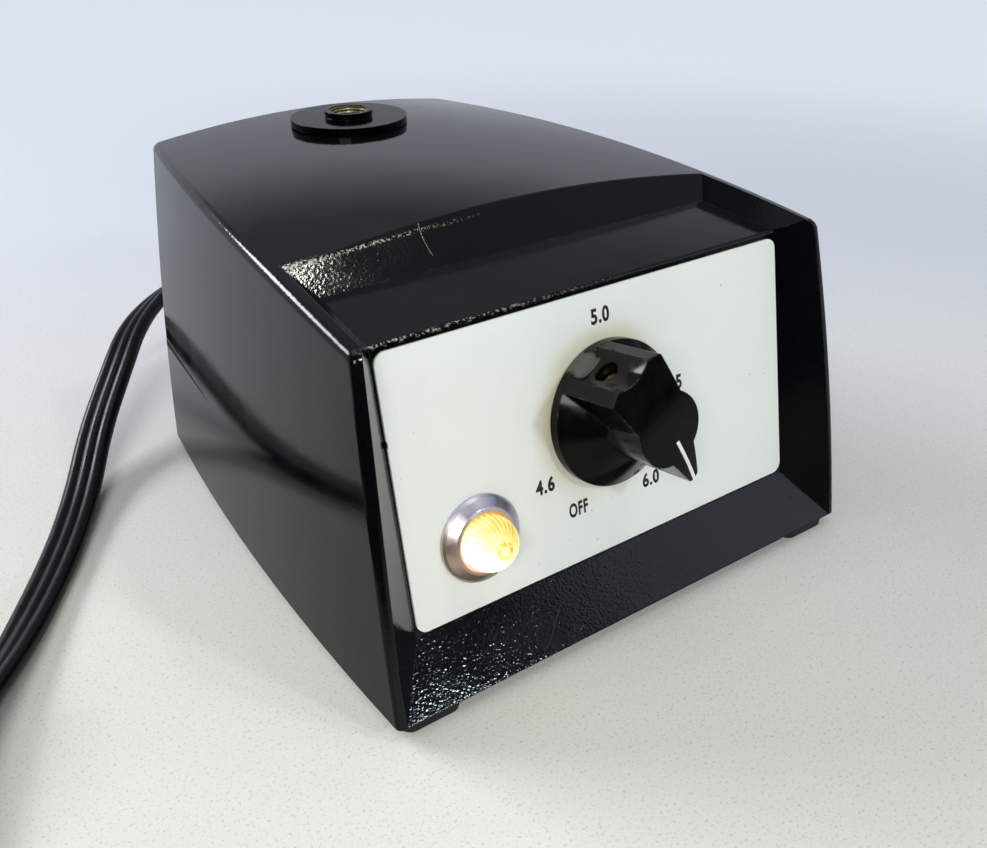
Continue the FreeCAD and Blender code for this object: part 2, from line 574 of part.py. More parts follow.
def make_rheostat():
    stack = size("panel_stack")
    shaft = rod("shaft_radius", "shaft_front + shaft_back", on(DIAL, 0, 0, -size("shaft_back")))
    node(shaft, "selector_shaft")

    thread = rod("bushing_radius", "bushing_front + panel_stack", on(DIAL, 0, 0, -stack))
    flange = rod("bushing_flange_radius", "bushing_flange", on(DIAL, 0, 0, -stack - size("bushing_flange")))
    bore = rod("shaft_bore", "30", on(DIAL, 0, 0, -15))
    node(cut(fuse(thread, flange), bore), "rheostat_bushing")

    washer = cut(rod("washer_radius", "washer_thickness", on(DIAL)),
                 rod("bushing_radius + 0.05", "washer_thickness * 3", on(DIAL, 0, 0, -size("washer_thickness"))))
    node(washer, "lock_washer")
    nut = hexagon("nut_across_flats", "nut_thickness", on(DIAL, 0, 0, size("washer_thickness")))
    node(cut(nut, rod("bushing_radius", "nut_thickness * 3", on(DIAL, 0, 0, -1))), "panel_nut")

    # the ceramic cup hangs on the bushing's flange; its open side faces the back
    length, flange_height = size("rheostat_length"), size("bushing_flange")
    cup = rod("rheostat_radius", "rheostat_length", on(DIAL, 0, 0, -stack - length))
    hollow = rod("rheostat_rim_radius", "rheostat_length - rheostat_floor", on(DIAL, 0, 0, -stack - length))
    seat = rod("bushing_flange_radius", "bushing_flange", on(DIAL, 0, 0, -stack - flange_height))
    hole = rod("shaft_bore + 0.3", "rheostat_length + 2", on(DIAL, 0, 0, -stack - length - 1))
    node(cut(cup, hollow, seat, hole), "rheostat_cup")

    face = -stack - size("rheostat_floor")
    ring = cut(rod("element_outer", "element_height", on(DIAL, 0, 0, face - size("element_height"))),
               rod("element_inner", "element_height * 3", on(DIAL, 0, 0, face - 2 * size("element_height"))),
               box("13", "8", "40", on(DIAL, 0, size("element_outer") - 1, -30)))
    node(ring, "resistance_element")

    # hub and wiper turn with the shaft, a little clear of the element
    hub_front = face - size("running_gap") - 0.2
    hub = cut(rod("wiper_hub_radius", "wiper_hub_length", on(DIAL, 0, 0, hub_front - size("wiper_hub_length"))),
              rod("shaft_radius", "40", on(DIAL, 0, 0, -35)))
    node(hub, "wiper_hub")
    arm_front = face - size("element_height") - size("running_gap")
    turn = Turn(Z_AXIS, size("rest_turn") + 180)
    arm_place = on(DIAL, 0, 0, arm_front - size("wiper_thickness"), turn)
    arm = box("wiper_reach", "wiper_width", "wiper_thickness",
              arm_place.multiply(at(size("wiper_reach") / 2)))
    hole_place = on(DIAL, 0, 0, arm_front - 3)
    arm = cut(arm, rod("wiper_hub_radius", "6", hole_place))
    node(arm, "wiper_arm")

    lugs = []
    for angle in (60, 90, 120):
        out = Turn(Z_AXIS, angle)
        inner = size("rheostat_radius")
        spot = on(DIAL, 0, 0, -stack - length + 3.0, out).multiply(at(inner - 0.5 + size("lug_length") / 2))
        lugs.append(box("lug_length", "lug_width", "lug_thickness", spot))
    node(group(*lugs), "rheostat_lugs")


# ---------------------------------------------------------------- pilot lamp


def make_pilot():
    bezel = turned("Bezel", [
        ("barrel_inner", "0"), ("barrel_radius", "0"),
        ("barrel_radius", "barrel_length"), ("bezel_radius", "barrel_length"),
        ("bezel_radius", "barrel_length + bezel_rim"),
        ("bezel_radius - 0.5", "barrel_length + bezel_rim + 0.6"),
        ("bezel_inner + 1.1", "barrel_length + bezel_height - 0.15"),
        ("bezel_inner + 0.5", "barrel_length + bezel_height"),
        ("bezel_inner", "barrel_length + bezel_height - 0.4"),
        ("bezel_inner", "barrel_length + 0.4"), ("barrel_inner", "barrel_length + 0.4"),
    ], on(PILOT, 0, 0, -size("barrel_length")))
    node(bezel, "pilot_bezel")

    lens = turned("Lens", [
        ("barrel_inner - 0.8", "0"), ("lens_radius", "0"), ("lens_radius", "lens_straight - 0.4"),
        ("lens_radius - 0.35", "lens_straight + 0.9"),
        ("lens_shoulder + 0.7", "lens_shoulder_level - 1.0"),
        ("lens_shoulder", "lens_shoulder_level - 0.4"),
        ("lens_shoulder - 1.6", "lens_shoulder_level + 0.25"),
        ("1.4", "lens_tip - 0.6"), ("1.2", "lens_tip - 0.4"), ("0", "lens_tip - 0.4"),
        ("0", "lens_tip - 0.4 - lens_wall"), ("lens_shoulder - lens_wall", "lens_straight + 1.4"),
        ("barrel_inner - 0.8", "lens_straight - 0.4"),
    ], on(PILOT, 0, 0, 0.4))
    node(lens, "pilot_lens")

    behind = -size("panel_stack")
    nut = hexagon("2 * pilot_nut_radius", "pilot_nut_height", on(PILOT, 0, 0, behind - size("pilot_nut_height")))
    node(cut(nut, rod("barrel_radius", "10", on(PILOT, 0, 0, behind - 6))), "pilot_nut")
    foot = -size("barrel_length")
    socket = rod("pilot_socket_radius", "pilot_socket_length", on(PILOT, 0, 0, foot - 2))
    node(socket, "pilot_socket")
    bulb_foot = foot - 2 + size("pilot_socket_length")
    stem = rod("neon_radius", "neon_length - neon_radius", on(PILOT, 0, 0, bulb_foot))
    dome = add("Part::Sphere", "Dome")
    bind(dome, "Radius", "neon_radius")
    dome.Placement = on(PILOT, 0, 0, bulb_foot + size("neon_length") - size("neon_radius"))
    node(fuse(stem, dome), "pilot_bulb")


# ---------------------------------------------------------------- light-guide port and lens


def port(z):
    return at(0, size("port_y"), z)


def make_port():
    crown = size("crown_level")
    disc = rod("flange_radius", "flange_thickness", port(crown))
    hub = rod("port_hub_radius", "port_hub_top - crown_level", port(crown))
    node(cut(fuse(disc, hub), rod("bush_radius", "10", port(crown - 1))), "port_flange")
    bush = cut(rod("bush_radius", "bush_top - bush_foot", port(size("bush_foot"))),
               rod("guide_radius", "20", port(size("bush_foot") - 1)))
    node(bush, "port_bush")
    under = crown - size("wall")
    cap_foot = under - size("lens_tube_cap") - 0.35
    nut = hexagon("port_nut_flats", "port_nut_height", port(cap_foot - size("port_nut_height")))
    node(cut(nut, rod("bush_radius", "20", port(cap_foot - 10))), "port_nut")

    tube = fuse(
        cut(rod("lens_tube_radius", f"{cap_foot + 0.3} - lens_tube_foot", port(size("lens_tube_foot"))),
            rod("lens_tube_radius - lens_tube_wall", "60", port(size("lens_tube_foot") - 1))),
        cut(rod("lens_tube_radius", "lens_tube_cap", port(cap_foot)),
            rod("port_hole", "10", port(cap_foot - 2))))
    node(tube, "lens_tube")

    foot, edge, bulge, radius = (size(n) for n in ("glass_foot", "glass_edge", "glass_bulge", "glass_radius"))
    outline = [Part.LineSegment(Vec(0, 0, foot - bulge), Vec(0, 0, foot + edge + bulge)).toShape()]
    clear = size("glass_clear_radius")
    for level, way in ((foot + edge, 1), (foot, -1)):
        middle = Vec(clear / 2, 0, level + way * bulge * 0.76)
        outline.append(Part.Arc(Vec(0, 0, level + way * bulge), middle, Vec(clear, 0, level)).toShape())
        outline.append(Part.LineSegment(Vec(clear, 0, level), Vec(radius, 0, level)).toShape())
    outline.append(Part.LineSegment(Vec(radius, 0, foot), Vec(radius, 0, foot + edge)).toShape())
    face = Part.Face(Part.Wire(Part.__sortEdges__(outline)))
    node(shaped(face.revolve(Vec(), Z_AXIS, 360), "Glass", port(0)), "condenser_lens")

    ring = cut(rod("lens_tube_radius - lens_tube_wall", "ring_height", port(foot - size("ring_height"))),
               rod("ring_inner", "10", port(foot - 5)))
    node(ring, "lens_ring")
    spacer_top = cap_foot - size("port_nut_height") - 0.6
    spacer = cut(rod("lens_tube_radius - lens_tube_wall", f"{spacer_top} - {foot + edge}", port(foot + edge)),
                 rod("lens_tube_radius - lens_tube_wall - 1.2", "30", port(foot)))
    node(spacer, "lens_spacer")


# ---------------------------------------------------------------- lamp


def make_lamp():
    wall = size("bulb_wall")

    def envelope(inset):
        ball = Part.makeSphere(size("bulb_radius") - inset, Vec(0, 0, size("bulb_centre")))
        neck = Part.makeCylinder(size("bulb_neck_radius") - inset, size("bulb_centre") - size("bulb_foot") - inset,
                                 Vec(0, 0, size("bulb_foot") + inset))
        return ball.fuse(neck)

    node(shaped(envelope(0.0).cut(envelope(wall)), "Bulb", port(0)), "lamp_bulb")
    half = size("filament_length") / 2
    coil = Part.makeCylinder(size("filament_radius"), 2 * half, Vec(-half, 0, size("bulb_centre")), X_AXIS)
    stems = [Part.makeCylinder(0.35, size("bulb_centre") - size("bulb_foot") - wall,
                               Vec(side * half, 0, size("bulb_foot") + wall)) for side in (1, -1)]
    node(shaped(coil.fuse(stems[0]).fuse(stems[1]), "Filament", port(0)), "lamp_filament")
    base = cut(rod("lamp_base_radius", "lamp_base_top - lamp_base_foot", port(size("lamp_base_foot"))),
               rod("bulb_neck_radius", "lamp_base_top - bulb_foot + 1", port(size("bulb_foot"))))
    node(base, "lamp_base")
    socket = cut(rod("socket_radius", "socket_top - socket_foot", port(size("socket_foot"))),
                 rod("lamp_base_radius", "20", port(size("lamp_base_foot"))))
    node(socket, "lamp_socket")

    sheet_thick, half_width, depth = size("bracket_sheet"), size("bracket_half_width"), size("bracket_depth")
    back = size("port_y") + 11.0
    shelf_foot = size("socket_foot") - sheet_thick
    front = back - depth
    parts = [
        Part.makeBox(2 * half_width, depth, sheet_thick, Vec(-half_width, front, shelf_foot)),
        Part.makeBox(2 * half_width, sheet_thick, shelf_foot + sheet_thick - plate_top(),
                     Vec(-half_width, back - sheet_thick, plate_top())),
        Part.makeBox(2 * half_width, depth, sheet_thick, Vec(-half_width, front, plate_top())),
    ]
    bracket = parts[0].fuse(parts[1]).fuse(parts[2]).removeSplitter()
    for x, y in bracket_screw_spots():
        bracket = bracket.cut(Part.makeCylinder(size("frame_screw_radius"), 10, Vec(x, y, 0)))
    node(shaped(bracket, "Bracket"), "lamp_bracket")
    screws = [pan_screw(x, y, plate_top() + sheet_thick + size("screw_head_height"), 3.6, down=True,
                        radius=size("frame_screw_radius") - 0.05, head=2.6) for x, y in bracket_screw_spots()]
    node(group(*screws), "bracket_screws")


def bracket_screw_spots():
    return [(side * 9.0, size("port_y") + 11.0 - size("bracket_depth") + 6.0) for side in (1, -1)]


# ---------------------------------------------------------------- transformer


def frame_screw_spots():
    reach = size("core_width") / 2 + size("frame_sheet") + size("frame_foot") / 2
    return [(side * reach, 0.0) for side in (1, -1)]


def make_transformer():
    width, height, stack = size("core_width"), size("core_height"), size("core_stack")
    foot, leg = size("core_foot"), size("core_leg")
    window = size("window_width"), size("window_height")
    core = box("core_width", "core_stack", "core_height", at(0, 0, foot))
    window_foot = foot + (height - window[1]) / 2
    for side in (1, -1):
        x = side * (leg / 2 + window[0] / 2)
        core = cut(core, box("window_width", "core_stack + 2", "window_height", at(x, 0, window_foot)))
    node(core, "transformer_core")

    wall = size("bobbin_wall")
    gap = 0.1
    former = box("core_leg + 2 * bobbin_wall", "core_stack + 2 * bobbin_wall", "window_height - 0.2",
                 at(0, 0, window_foot + gap))
    flanges = [box("core_leg + 2 * window_width - 0.4", "core_stack + 2 * winding_build + 3", "bobbin_wall",
                   at(0, 0, z)) for z in (window_foot + gap, window_foot + window[1] - gap - wall)]
    bobbin = cut(fuse(former, *flanges), box("core_leg", "core_stack", "window_height + 4", at(0, 0, window_foot - 2)))
    node(bobbin, "transformer_bobbin")
    winding = box("core_leg + 2 * bobbin_wall + 2 * winding_build", "core_stack + 2 * bobbin_wall + 2 * winding_build",
                  "window_height - 0.2 - 2 * bobbin_wall", at(0, 0, window_foot + gap + wall))
    rounded = add("Part::Fillet", "RoundedWinding")
    rounded.Base = winding
    doc.recompute()
    uprights = [i + 1 for i, e in enumerate(winding.Shape.Edges) if e.BoundBox.ZLength > 10]
    rounded.Edges = [(i, 4.0, 4.0) for i in uprights]
    hole = box("core_leg + 2 * bobbin_wall", "core_stack + 2 * bobbin_wall", "window_height + 4",
               at(0, 0, window_foot - 2))
    node(cut(rounded, hole), "transformer_windings")

    sheet_thick, depth = size("frame_sheet"), size("frame_depth")
    reach = width / 2 + sheet_thick
    strap = box("core_width + 2 * frame_sheet", "frame_depth", f"core_foot + core_height + frame_sheet - {plate_top()}",
                at(0, 0, plate_top()))
    inside = box("core_width", "frame_depth + 2", f"core_foot + core_height - {plate_top()}", at(0, 0, plate_top()))
    toes = [box("frame_foot", "frame_depth", "frame_sheet", at(side * (reach + size("frame_foot") / 2), 0, plate_top()))
            for side in (1, -1)]
    holes = [rod("frame_screw_radius", "10", at(x, y, 0)) for x, y in frame_screw_spots()]
    node(cut(fuse(cut(strap, inside), *toes), *holes), "transformer_frame")
    screws = [pan_screw(x, y, plate_top() + sheet_thick + size("screw_head_height"), 3.6, down=True,
                        radius=size("frame_screw_radius") - 0.05) for x, y in frame_screw_spots()]
    node(group(*screws), "frame_screws")
    saddle = box("core_width", "frame_depth", f"core_foot - {plate_top()}", at(0, 0, plate_top()))
    node(saddle, "core_pad")


# ---------------------------------------------------------------- terminal strip and wires


def make_terminals():
    x, y = size("strip_x"), size("strip_y")
    length, thick = size("strip_length"), size("strip_thickness")
    board = Part.makeBox(thick, length, size("strip_height"), Vec(x, y - length / 2, plate_top() + 6))
    legs = [Part.makeBox(thick, 6, 6, Vec(x, y + side * (length / 2 - 3) - 3, plate_top())) for side in (1, -1)]
    toes = [Part.makeBox(8, 6, 1.2, Vec(x + thick, y + side * (length / 2 - 3) - 3, plate_top())) for side in (1, -1)]
    for piece in legs + toes:
        board = board.fuse(piece)
    node(shaped(board.removeSplitter(), "Strip"), "terminal_strip")
    lugs = [Part.makeBox(0.6, 3.2, 9, Vec(x + thick, lug_y(i) - 1.6, plate_top() + 9)) for i in range(int(size("strip_lugs")))]
    node(group(*[shaped(lug, "Lug") for lug in lugs]), "terminal_lugs")


def lug_y(i):
    return size("strip_y") + (i - (size("strip_lugs") - 1) / 2) * size("strip_lug_pitch")


def rounded_path(points, share=0.45):
    """Straight runs joined by tangent arcs, each as large as its two runs allow. Returns wire and radii."""
    spots = [Vec(*p) for p in points]
    edges, radii, start = [], [], spots[0]
    for before, corner, after in zip(spots, spots[1:], spots[2:]):
        come, leave = (corner - before), (after - corner)
        shorter = share * min(come.Length, leave.Length)
        turn = come.getAngle(leave)
        radii.append(shorter / math.tan(turn / 2))
        way_in, way_out = Vec(come).normalize(), Vec(leave).normalize()
        first, last = corner - way_in * shorter, corner + way_out * shorter
        inward = (way_out - way_in).normalize()
        middle = corner + inward * (radii[-1] / math.cos(turn / 2) - radii[-1])
        edges.append(Part.LineSegment(start, first).toShape())
        edges.append(Part.Arc(first, middle, last).toShape())
        start = last
    edges.append(Part.LineSegment(start, spots[-1]).toShape())
    return Part.Wire(edges), radii


def swept(points, radius):
    """A round tube along rounded_path; its volume is compared with its section times its length."""
    wire, radii = rounded_path(points)
    start, way = Vec(*points[0]), Vec(*points[1]) - Vec(*points[0])
    ring = Part.Wire(Part.Circle(start, way, radius).toShape())
    solid = wire.makePipeShell([ring], True, False)
    expected = math.pi * radius**2 * wire.Length
    if abs(solid.Volume - expected) > 0.02 * expected:
        raise ValueError(f"a swept tube has volume {solid.Volume:.0f}, not {expected:.0f}")
    return solid, wire.Length, radii


MAINS_LEADS = (
    ((-7.6, 61.0, 39.6), (-13, 58, 38), (-25, 54, 30), (-36, 50, 21), (-40.9, 46.0, 17.0)),
    ((-7.6, 61.0, 37.4), (-14, 56, 34), (-24, 48, 26), (-35, 43, 20), (-40.9, 39.0, 16.0)),
)
LAMP_LEADS = (
    ((-9.6, 48.0, 29.0), (-16, 44, 27), (-26, 38, 24), (-36, 34, 20), (-40.9, 32.0, 16.0)),
    ((-40.9, 18.0, 16.5), (-38, 10, 20), (-37, -6, 30), (-31, -20, 38), (-22, -29, 44), (-14.0, -34.5, 50.0)),
)
LEAD_RADIUS = 0.9


def make_leads():
    for label, routes in (("mains_leads", MAINS_LEADS), ("lamp_leads", LAMP_LEADS)):
        node(group(*[shaped(swept(route, LEAD_RADIUS)[0], "Lead") for route in routes]), label)


# ---------------------------------------------------------------- mains cord

# The cord's route from the strain relief to its coil: straight back, round to the left, down onto the
# table and forward along it.
CORD_ROUTE = (
    (-6.0, 89.9, 34.1), (-6.0, 106.6, 31.6), (-13.6, 117.0, 29.6), (-25.4, 120.2, 27.2),
    (-37.6, 115.6, 25.0), (-53.2, 99.2, 23.4), (-64.6, 82.2, 18.4), (-77.1, 67.1, 9.2),
    (-88.0, 45.9, 4.2), (-99.8, 23.3, 3.1), (-115.5, -2.4, 3.1), (-130.2, -25.2, 3.2),
    (-139.0, -48.0, 5.6),
)
# The last stretch climbs from the inner turn onto the coil, where the plug lies.
TAIL_ROUTE = (
    (-230.7, -48.0, 5.7), (-226.0, -30.7, 7.6), (-215.1, -17.5, 12.0), (-202.5, -8.0, 16.5),
    (-189.0, -6.5, 18.9),
)


def wall_out():
    """Outward normal of the leaning rear wall."""
    lean = math.radians(size("rear_lean"))
    return Vec(0, math.cos(lean), -math.sin(lean))


def cord_start():
    """Where the cord passes the outside of the rear wall."""
    slope = math.tan(math.radians(size("rear_lean")))
    z = size("cord_exit_z")
    return Vec(size("cord_x"), size("rear_foot") + (z - size("foot_height")) * slope, z)


def along_wall(distance):
    spot = cord_start() + wall_out() * distance
    return Place(spot, Turn(Z_AXIS, wall_out()))


def coil_radii():
    outer = size("coil_outer_turn")
    inner = outer - (size("coil_turns") - 0.25) * size("coil_pitch")
    return inner, outer


def make_cord():
    relief_out = size("relief_length")
    boot = fuse(
        taper("relief_root_radius", "relief_tip_radius", "relief_length", along_wall(0)),
        rod("relief_flange_radius", "relief_flange", along_wall(0.1)),
        rod("cord_hole_radius - 0.05", "wall + relief_inside", along_wall(-size("wall") - size("relief_inside"))),
        rod("cord_hole_radius + 1.2", "relief_inside - 2.5", along_wall(-size("wall") - size("relief_inside"))))
    node(boot, "strain_relief")
    stub_back = size("wall") + size("relief_inside")
    node(rod("cord_tube_radius", "cord_stub", along_wall(-stub_back - size("cord_stub"))), "cord_inner_end")

    points = list(CORD_ROUTE)
    end = along_wall(relief_out).Base
    points[0] = (end.x, end.y, end.z)
    radius = size("cord_tube_radius")
    tube, length, radii = swept(points, radius)
    node(shaped(tube, "Cord"), "power_cord")
    tail, tail_length, tail_radii = swept(TAIL_ROUTE, radius)
    node(shaped(tail, "CordTail"), "cord_tail")

    inner, outer = coil_radii()
    half = size("cord_thickness") / 2
    centre = Vec(size("coil_x"), size("coil_y"), size("coil_foot"))
    ring = Part.makeCylinder(outer + half, size("cord_width"), centre)
    ring = ring.cut(Part.makeCylinder(inner - half, size("cord_width"), centre))
    node(shaped(ring, "Coil"), "cord_coil")

    band = size("tie_thickness")
    middle, across_turns = (inner + outer) / 2, outer - inner + 2 * half
    tie = Part.makeBox(across_turns + 1.0 + 2 * band, size("tie_width"), size("cord_width") + 2 * band,
                       Vec(-across_turns / 2 - 0.7 - band, -size("tie_width") / 2, -band))
    tie = tie.cut(Part.makeBox(across_turns + 1.0, 30, size("cord_width") + 0.1, Vec(-across_turns / 2 - 0.7, -15, -0.05)))
    tie.Placement = Place(centre, Turn(Z_AXIS, -140)).multiply(at(middle))
    node(shaped(tie, "Tie"), "coil_tie")

    make_plug()
    turns = size("coil_turns") * math.pi * (inner + outer)
    print(f"cord: tube {length:.0f} mm, coil {turns:.0f} mm, tail {tail_length:.0f} mm, "
          f"in all {length + turns + tail_length:.0f} mm")
    for label, found in (("power_cord", radii), ("cord_tail", tail_radii)):
        print(label, "radii", " ".join(f"{r:.0f}" for r in found))


def make_plug():
    """A moulded plug that lies on the coil; it points along the way the tail ends."""
    back, front = Vec(*TAIL_ROUTE[-2]), Vec(*TAIL_ROUTE[-1])
    way = front - back
    flat = Vec(way.x, way.y, 0).normalize()
    frame = Place(front, Turn(X_AXIS, flat))
    length, width, height = size("plug_length"), size("plug_width"), size("plug_height")
    grip = Part.makeBox(length, width, height, Vec(9, -width / 2, -height / 2))
    grip = grip.makeFillet(4.0, [e for e in grip.Edges if e.BoundBox.XLength > 10])
    grip = grip.makeFillet(1.5, [e for e in grip.Edges if e.BoundBox.XMin > 9 + length - 0.01])
    boot = Part.makeCone(4.2, 7.0, 11, Vec(0, 0, 0), X_AXIS)
    node(shaped(grip.fuse(boot).removeSplitter(), "Plug", frame), "plug_body")
    face = 9 + length
    blades = []
    for side in (1, -1):
        y = side * size("blade_spacing") / 2
        blade = Part.makeBox(size("blade_length"), size("blade_thickness"), size("blade_width"),
                             Vec(face, y - size("blade_thickness") / 2, -size("blade_width") / 2 + 1.0))
        blades.append(shaped(blade, "Blade", frame))
    node(group(*blades), "plug_blades")
    pin = Part.makeCylinder(size("earth_pin_radius"), size("earth_pin_length"), Vec(face, 0, -size("earth_pin_drop")), X_AXIS)
    pin = pin.makeFillet(1.4, [e for e in pin.Edges if e.BoundBox.XMin > face + size("earth_pin_length") - 0.01])
    node(shaped(pin, "EarthPin", frame), "plug_earth_pin")


# ---------------------------------------------------------------- build and export

for make in (make_housing, make_base, make_dial_plate, make_knob, make_rheostat, make_pilot, make_port,
             make_lamp, make_transformer, make_terminals, make_leads, make_cord):
    make()
doc.recompute()

faults = [thing.Name for thing in doc.Objects if "Invalid" in thing.State or "Error" in thing.State]
for piece in NODES:
    if piece.Shape.isNull() or not piece.Shape.isValid() or not piece.Shape.Solids:
        faults.append(piece.Label)
if faults:
    raise SystemExit("not built: " + ", ".join(faults))
os.makedirs("parts", exist_ok=True)
for piece in NODES:
    piece.Shape.exportStep(os.path.join("parts", piece.Label + ".step"))
print(len(NODES), "pieces")
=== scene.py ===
"""Fiber optic illuminator on a pale table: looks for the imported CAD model."""
import math

import bmesh
import bpy
from mathutils import Matrix, Vector


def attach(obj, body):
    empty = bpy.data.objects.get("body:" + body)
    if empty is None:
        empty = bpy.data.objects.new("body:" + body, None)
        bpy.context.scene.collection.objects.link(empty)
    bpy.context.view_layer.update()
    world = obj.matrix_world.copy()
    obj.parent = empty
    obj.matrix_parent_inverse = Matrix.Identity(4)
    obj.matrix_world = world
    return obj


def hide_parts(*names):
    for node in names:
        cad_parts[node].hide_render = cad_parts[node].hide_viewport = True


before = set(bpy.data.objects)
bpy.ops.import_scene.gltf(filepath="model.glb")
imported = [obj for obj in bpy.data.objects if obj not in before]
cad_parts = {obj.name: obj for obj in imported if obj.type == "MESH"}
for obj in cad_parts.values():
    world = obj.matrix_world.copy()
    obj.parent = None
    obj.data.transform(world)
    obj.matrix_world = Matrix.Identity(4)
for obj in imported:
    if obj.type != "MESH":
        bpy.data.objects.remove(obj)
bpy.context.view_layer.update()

MM = 0.001

# ------------------------------------------------------------------ camera

# The camera's place and its right, up and backward directions in the row frame.
CAMERA_AT = (-0.131196, -0.201419, 0.150623)
CAMERA_RIGHT = (0.814605, -0.579954, -0.008464)
CAMERA_UP = (0.289398, 0.393756, 0.872471)
CAMERA_BACK = (-0.502660, -0.713168, 0.488593)
SENSOR_WIDTH = 36.0
FOCAL_LENGTH = 37.85
CLIP_START = 0.01


def link(obj):
    bpy.context.scene.collection.objects.link(obj)
    return obj


def make_camera():
    data = bpy.data.cameras.new("camera")
    data.sensor_width = SENSOR_WIDTH
    data.lens = FOCAL_LENGTH
    data.clip_start = CLIP_START
    camera = link(bpy.data.objects.new("camera", data))
    rows = Matrix((CAMERA_RIGHT, CAMERA_UP, CAMERA_BACK)).transposed().to_4x4()
    camera.matrix_world = Matrix.Translation(CAMERA_AT) @ rows
    bpy.context.scene.camera = camera


make_camera()

# ------------------------------------------------------------------ places on the object, in metres

# the dial leans back, and its own frame starts where the selector's shaft leaves it
DIAL_LEAN = math.radians(10.82)
DIAL_AT = (0, -57.68 * MM, 45.5 * MM)
KNOB_TURN = math.radians(-60)
PILOT_AT = (-35.65 * MM, -16.34 * MM, 0)
DIAL = Matrix.Translation(DIAL_AT) @ Matrix.Rotation(math.pi / 2 - DIAL_LEAN, 4, "X")
KNOB = DIAL @ Matrix.Rotation(KNOB_TURN, 4, "Z")
PILOT = DIAL @ Matrix.Translation(PILOT_AT)
DIAL_MIDDLE_Z = 0.0455
DIAL_UPRIGHT = 0.982  # the cosine of its lean
DIAL_EDGE_X = 0.0528
PORT_Y = 0.0502
PORT_THREAD_PITCH = 0.0008
BEZEL_RADIUS = 0.0093
LENS_RADIUS = 0.0058
LENS_FLUTES = 30

# ------------------------------------------------------------------ meshes


def mesh_piece(name, verts, faces, material, body="base", smooth=True, place=None):
    mesh = bpy.data.meshes.new(name)
    mesh.from_pydata([tuple(v) for v in verts], [], faces)
    if smooth:
        mesh.polygons.foreach_set("use_smooth", [True] * len(mesh.polygons))
    mesh.materials.append(material)
    obj = link(bpy.data.objects.new(name, mesh))
    if place is not None:
        obj.matrix_world = place
    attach(obj, body)
    return obj


def loft_faces(rings, count):
    """Quads between neighbouring rings of points, and a cap on each end."""
    faces = []
    for j in range(rings - 1):
        for i in range(count):
            k = (i + 1) % count
            faces.append((j * count + i, j * count + k, (j + 1) * count + k, (j + 1) * count + i))
    faces.append(tuple(range(count - 1, -1, -1)))
    faces.append(tuple(range((rings - 1) * count, rings * count)))
    return faces


# ------------------------------------------------------------------ materials


